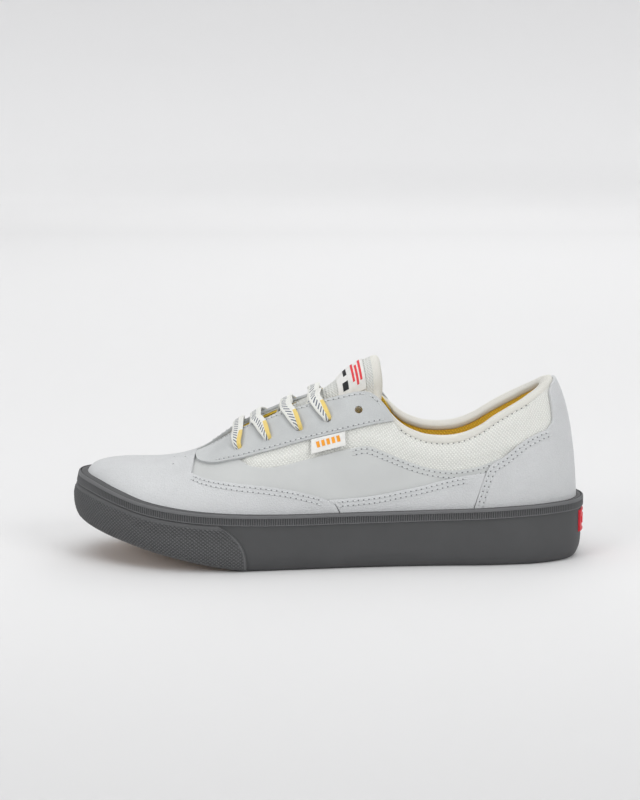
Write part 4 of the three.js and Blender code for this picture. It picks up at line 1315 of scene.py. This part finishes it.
def make_collar_foam():
    s, t = np.linspace(-0.17, 0.17, 160)[:, None], np.linspace(0, 1, 16)[None]
    lift = smooth(COLLAR_EDGE, np.abs(s)) - 1 - FOAM_DEEP * 0.7 * (1 - t)
    crown = np.sqrt(np.clip(1 - (2 * t - 1) ** 4, 0, 1))
    depths = (5.2 - 1.6 * crown, 5.0 + (foam_push(s, lift) - 0.4) * crown)
    grid, _ = lifted_grid(-1, s, lift, depths)
    foam_piece = sheet("collar_padding", [grid], FOAM, rounding=0.5, node="collar_foam", slot="foam")


def make_binding():
    """Cloth that rolls over the collar's edge, from a seam outside to a seam inside."""
    s = np.linspace(-0.2, 0.2, 400)
    share = np.abs(s)
    lift = smooth(COLLAR_EDGE, np.minimum(share, COLLAR_END)) + 650 * np.maximum(share - COLLAR_END, 0)
    base, normal = last(s, lift), last_normal(s, lift)
    degree = last(s, lift + 0.5) - last(s, lift - 0.5)
    upward = unit(degree)
    outside = 0.95 + 0.95 * (1 - step01(share, 0.045, 0.075)) + 0.85 * step01(share, 0.178, 0.19)
    deep = LINING_TOP + LINING + foam_push(s, lift) + 0.5 - 3.4 * step01(share, 0.187, 0.197)
    down = (BAND + 0.4) * np.linalg.norm(degree, axis=1)
    centre, half = (outside + deep) / 2, (deep - outside) / 2
    tall = np.minimum(1.9, half * 0.6)
    section = [(outside + 0.55, -down), (outside + 0.15, -down * 0.9), (outside - 0.05, -down * 0.6),
               (outside, -down * 0.25)]
    section += [(centre + half * math.cos(a), tall * math.sin(a)) for a in np.linspace(math.pi, 0, 17)]
    section += [(deep + ahead, drop + 0 * down)
                for ahead, drop in ((0.15, -0.6), (0.15, -1.3), (0, -1.9), (-0.4, -2.2))]
    inner = []
    for d, h in reversed(section):
        d, h = d + np.where(d < centre, 0.7, -0.6), h - 0.5 * (h > 0)
        inner.append((np.clip(d, outside + 0.7, deep - 0.5), np.where(h > 0, h * 0.8, h)))
    rings = np.stack([base - normal * d[:, None] + upward * h[:, None] for d, h in section + inner], 1)
    girth = np.cumsum(np.linalg.norm(np.diff(rings, axis=1, prepend=rings[:, :1]), axis=-1), 1)
    uv = np.stack([np.broadcast_to((s * GIRTH)[:, None], girth.shape), girth], -1).reshape(-1, 2)
    binding = loop_rings("collar_roll", rings, uv, closed=False)
    shade(binding, 60)
    finish_piece(binding, BINDING, node="collar_binding", slot="binding")


BINDING = woven("binding_cloth", (0.84, 0.83, 0.77), 0.45)
make_lining()
make_collar_foam()
make_binding()

# ---------------------------------------------------------------- tongue
TONGUE_END = 0.207
TONGUE_CORE = 4.1  # depth of the middle of the tongue's thickness
TONGUE_FRONT = 0.366
TONGUE_SIDE = 50.0
TONGUE_SIDE_DEPTH = LINING_TOP + LINING + CAD_LACE + 1.8
TONGUE_MIDDLE_DEPTH = [
    (0.2, -4.4), (0.213, -3.6), (0.226, -1.2), (0.24, 2.6), (0.252, 4.6), (0.275, 5.0), (0.345, 5.2),
    (0.366, 6.5),
]


def tongue_depth(s, lift):
    edge_lift = smooth(EYESTAY_TOP, np.maximum(s, 0.209)) + 1
    rise = step01(lift, edge_lift, 92.0)
    return TONGUE_SIDE_DEPTH + (smooth(TONGUE_MIDDLE_DEPTH, s) - TONGUE_SIDE_DEPTH) * rise


def tongue_points(s, low, across, offset):
    """A grid over the tongue: s rows, from the outer side over the middle to the inner side."""
    s = np.asarray(s, float)[:, None]
    lifts = np.linspace(low, 90, across)[None]
    depth = tongue_depth(s, lifts) + offset(s, lifts)
    a, b = (under(share, lifts, depth) for share in (s, partner(s)))
    middle = (a[:, -1:] + b[:, -1:]) / 2
    return np.concatenate([a[:, :-1], middle, b[:, ::-1][:, 1:]], 1)


def side_close(lifts):
    """0 at the tongue's side edges, 1 over its middle."""
    t = np.clip((lifts - TONGUE_SIDE) / 7.0, 0, 1)
    return np.sqrt(1 - (1 - t) ** 2)


RIB = 1.75


def tongue_uv(points):
    """Distances along and across the tongue, in millimetres."""
    run = [np.cumsum(np.linalg.norm(np.diff(points, axis=k, prepend=points.take([0], axis=k)), axis=-1), k)
           for k in (0, 1)]
    return np.stack(run, -1)


def tongue_layer(name, rows, inset, across, faces, material, cloth=True, **given):
    """A layer of the tongue. faces: for each face its spread from the tongue's core, and what it adds."""
    grid = [tongue_points(rows, TONGUE_SIDE + inset, across,
                          lambda s, l: TONGUE_CORE + spread * side_close(l - inset * 2 / 3) + rise(s))
            for spread, rise in faces]
    return sheet(name, [grid], material, [tongue_uv(grid[0])] if cloth else None, body="tongue", **given)


def make_tongue():
    def ribs(s):
        return 0.2 - 0.34 * np.abs(np.sin(math.pi * s * GIRTH / RIB))

    rows = np.linspace(TONGUE_END - 0.001, TONGUE_FRONT, 400)
    tongue_layer("tongue_ribbed_face", rows, 0, 44, ((-4.1, ribs), (-3.1, lambda s: 0.1)), TONGUE_KNIT,
                 angle=70, node="tongue_face", slot="knit_white")
    rows = np.linspace(TONGUE_END, TONGUE_FRONT, 120)
    tongue_layer("tongue_back_lining", rows, 0, 40, ((3.1, lambda s: -0.1), (4.1, lambda s: 0)), TONGUE_KNIT,
                 angle=70, node="tongue_lining", slot="knit_white")
    rows = np.linspace(TONGUE_END + 0.002, 0.3, 90)
    pad = tongue_layer("tongue_padding", rows, 3, 34, ((-2.4, lambda s: 0), (2.4, lambda s: 0)), FOAM, False,
                       rounding=0.5, node="tongue_foam", slot="foam")


def make_hem():
    """The rolled edge across the tongue's top."""
    turn = np.linspace(0, 2 * math.pi, 28, endpoint=False)
    rings = []
    for a in turn:
        long, thick = (np.sign(v) * abs(v) ** 0.8 for v in (math.cos(a), math.sin(a)))
        rings.append(tongue_points([0.2045 + 0.0053 * long], TONGUE_SIDE, 44,
                                   lambda s, l: TONGUE_CORE + (4.1 * side_close(l) + 0.25) * thick)[0])
    rings = np.stack(rings, 1)
    uv = np.stack(np.meshgrid(np.arange(len(rings)) * 1.2, turn * 3.0, indexing="ij"), -1).reshape(-1, 2)
    hem = loop_rings("tongue_rolled_hem", rings, uv, closed=False)
    shade(hem, 70)
    finish_piece(hem, BINDING, "tongue", "tongue_hem", "binding")


def tongue_patch(name, start, length, low, high, material, rise=0.76, thick=0.12, count=(6, 14), **given):
    """A small flat piece on the tongue's face. Lifts above 90 run down the inner side."""
    start += TONGUE_END
    s = np.linspace(start, start + length, count[0])[:, None]
    t = np.linspace(low, high, count[1])[None]
    lift = np.where(t > 90, 180 - t, t)
    here = np.where(t > 90, partner(s + 0 * t), s + 0 * t)
    depth = tongue_depth(s, lift)
    outer, inner = under(here, lift, depth - rise - thick), under(here, lift, depth - rise)
    sheet(name, [(outer, inner)], material, [tongue_uv(outer)], body="tongue", **given)


LABEL_WHITE = thread("label_satin", (0.74, 0.74, 0.72))
RED_PRINT = thread("red_print", (0.72, 0.06, 0.07))
BLACK_PRINT = thread("black_print", (0.02, 0.022, 0.024))
ORANGE_PRINT = thread("orange_print", (0.83, 0.33, 0.03))


def make_tongue_label():
    tongue_patch("tongue_woven_label", 0.006, 0.0245, 69, 111, LABEL_WHITE, 0.3, 0.5, (30, 40),
                 node="tongue_label", slot="binding")
    for i, (low, high) in enumerate(((76, 92), (74, 87), (77, 95))):
        tongue_patch(f"label_red_bar_{i}", 0.0085 + 0.0032 * i, 0.0019, low, high, RED_PRINT, count=(6, 24))
    tongue_patch("label_dark_bar", 0.021, 0.005, 74, 80, BLACK_PRINT)
    tongue_patch("label_dark_dot", 0.021, 0.003, 84, 98, BLACK_PRINT, count=(8, 8))


make_tongue()
make_hem()
make_tongue_label()


# ---------------------------------------------------------------- side label


def make_side_label():
    top = edge(EYESTAY_FOOT, -0.3)

    def curl(s, lift):
        """The label's free foot stands off the side."""
        depth = 0.35 - 1.0 * np.clip((top(s) - lift) / 8.0, 0, 1) ** 1.5
        return depth - 0.45, depth

    grid, uv = panel_grid(-1, np.linspace(0.229, 0.2575, 40), lambda s: 36.3 + 6 * (s - 0.243), top, curl, 24)
    sheet("side_woven_label", [grid], LABEL_WHITE, [uv], rounding=0.12, body="side_label", node="side_label",
          slot="binding")
    for i in range(5):
        start = 0.2335 + 0.0042 * i
        lift = np.linspace(38.6, 41.6, 10)[None]
        s = np.linspace(start, start + 0.0026, 6)[:, None] + 0.0012 * (lift - 40) / 3
        depth, _ = curl(s, lift)
        grid, _ = lifted_grid(-1, s, lift, (depth - 0.1, depth + 0.05))
        sheet(f"side_label_mark_{i}", [grid], ORANGE_PRINT, body="side_label")


make_side_label()

# ---------------------------------------------------------------- stitching
STITCH, STITCH_GAP, THREAD_RADIUS = 2.1, 0.9, 0.3


def inset_row(hand, s, lift, distance):
    """Moves a line over the surface by a distance, downwards when positive."""
    share = on(hand, s)
    ps = (last(share + 0.001, lift) - last(share - 0.001, lift)) / 0.002
    pl = last(share, lift + 0.5) - last(share, lift - 0.5)
    m = unit(np.cross(last_normal(share, lift), np.gradient(last(share, lift), axis=0))) * -hand * distance
    a, b, c = (ps * ps).sum(1), (ps * pl).sum(1), (pl * pl).sum(1)
    u, v = (ps * m).sum(1), (pl * m).sum(1)
    det = a * c - b * b
    return share + (u * c - v * b) / det, lift + (a * v - b * u) / det


# A stitch's rings: place along it, rise over the surface, share of the thread's radius.
STITCH_RINGS = ((-0.5, -0.22, 0.6), (-0.32, 0.1, 1.0), (0, 0.2, 1.05), (0.32, 0.1, 1.0), (0.5, -0.22, 0.6))
THREAD_SIDES, HOLE_SHADE_SIDES = 5, 6
# A needle hole's dark disc of painted shade, as rings: rise over the surface, radius.
HOLE_SHADE_RINGS = ((0.05, 0.42), (-0.3, 0.3))


def ring_points(centre, a, b, radius, sides):
    turns = [2 * math.pi * k / sides for k in range(sides)]
    return [centre + (a * math.cos(turn) + b * math.sin(turn)) * radius for turn in turns]


def tube_faces(start, rings, sides):
    """Faces of a short tube with both ends closed."""
    faces = [(a, b, b + sides, a + sides) for j in range(rings - 1) for a, b in
             ((start + j * sides + k, start + j * sides + (k + 1) % sides) for k in range(sides))]
    last_ring = start + (rings - 1) * sides
    faces.append(tuple(range(start + sides - 1, start - 1, -1)))
    faces.append(tuple(range(last_ring, last_ring + sides)))
    return faces


def sew_row(share, lift, depth, threads, hole_shades):
    """Adds a line's threads, and dark discs of painted shade at the needle holes between them, to two lists
    of rings of points.
    """
    line, normal = under(share, lift, depth), last_normal(share, lift)
    length = arc_length(line)
    count = max(int(length[-1] / (STITCH + STITCH_GAP)), 1)
    pitch = length[-1] / count

    def at(where, values=line):
        return np.array([np.interp(where, length, values[:, k]) for k in range(3)])

    for i in range(count):
        for part, rise, size in STITCH_RINGS:
            where = (i + 0.5) * pitch + part * STITCH
            n, t = at(where, normal), unit(at(where + 0.3) - at(where - 0.3))
            threads += ring_points(at(where) + n * rise, np.cross(n, t), n, THREAD_RADIUS * size,
                                   THREAD_SIDES)
    for i in range(1, count):
        where = i * pitch
        n, t = unit(at(where, normal)), unit(at(where + 0.3) - at(where))
        for rise, radius in HOLE_SHADE_RINGS:
            hole_shades += ring_points(at(where) + n * rise, np.cross(n, t), t, radius, HOLE_SHADE_SIDES)


def stitches(name, rows, material):
    """rows: (hand, shares, lifts, distance below the line, depth)."""
    threads, hole_shades = [], []
    for hand, s, lift, distance, depth in rows:
        sew_row(*inset_row(hand, s, lift, distance), depth, threads, hole_shades)
    for points, rings, sides, title, paint in (
            (threads, len(STITCH_RINGS), THREAD_SIDES, name, material),
            (hole_shades, len(HOLE_SHADE_RINGS), HOLE_SHADE_SIDES, name + "_hole_shades", HOLE_SHADE)):
        faces = [f for start in range(0, len(points), rings * sides) for f in tube_faces(start, rings, sides)]
        seam = make_piece(title, np.array(points), faces)
        turn_out(seam.data)
        if points is threads:
            shade(seam, 80)
        finish_piece(seam, paint)


def seam_line(keys, low, high, count=160):
    s = np.linspace(low, high, count)
    return s, smooth(keys, s)


def make_stitching():
    rows, collar = [], []
    for hand in (-1, 1):
        for off in (1.6, 4.0):
            rows += [(hand, *seam_line(keys, low, high), off, depth) for keys, low, high, depth in
                     ((VAMP_EDGE, 0.246, 0.357, -0.05), (MESH_FOOT, 0.105, 0.225, 1.65),
                      (LOW_QUARTER_EDGE, 0.128, 0.236, -0.05), (COUNTER_EDGE, 0.05, 0.122, -0.05))]
        rows += [(hand, *seam_line(keys, low, high), off, -0.05) for keys, low, high, off in
                 ((EYESTAY_FOOT, 0.196, 0.34, -1.7), (EYESTAY_TOP, 0.212, 0.345, 1.7),
                  (EYESTAY_TOP, 0.197, 0.2095, 1.9))]
        s, lift = seam_line(COLLAR_EDGE, 0.062, 0.186, 200)
        collar.append((hand, s, lift - BAND - 0.5, 0.0, 1.35))
    stitches("upper_stitching", rows, THREAD)
    stitches("collar_stitching", collar, WHITE_THREAD)


make_stitching()

lists = [[list(corner) for corner in box] for box in (CAD_BOX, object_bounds())]
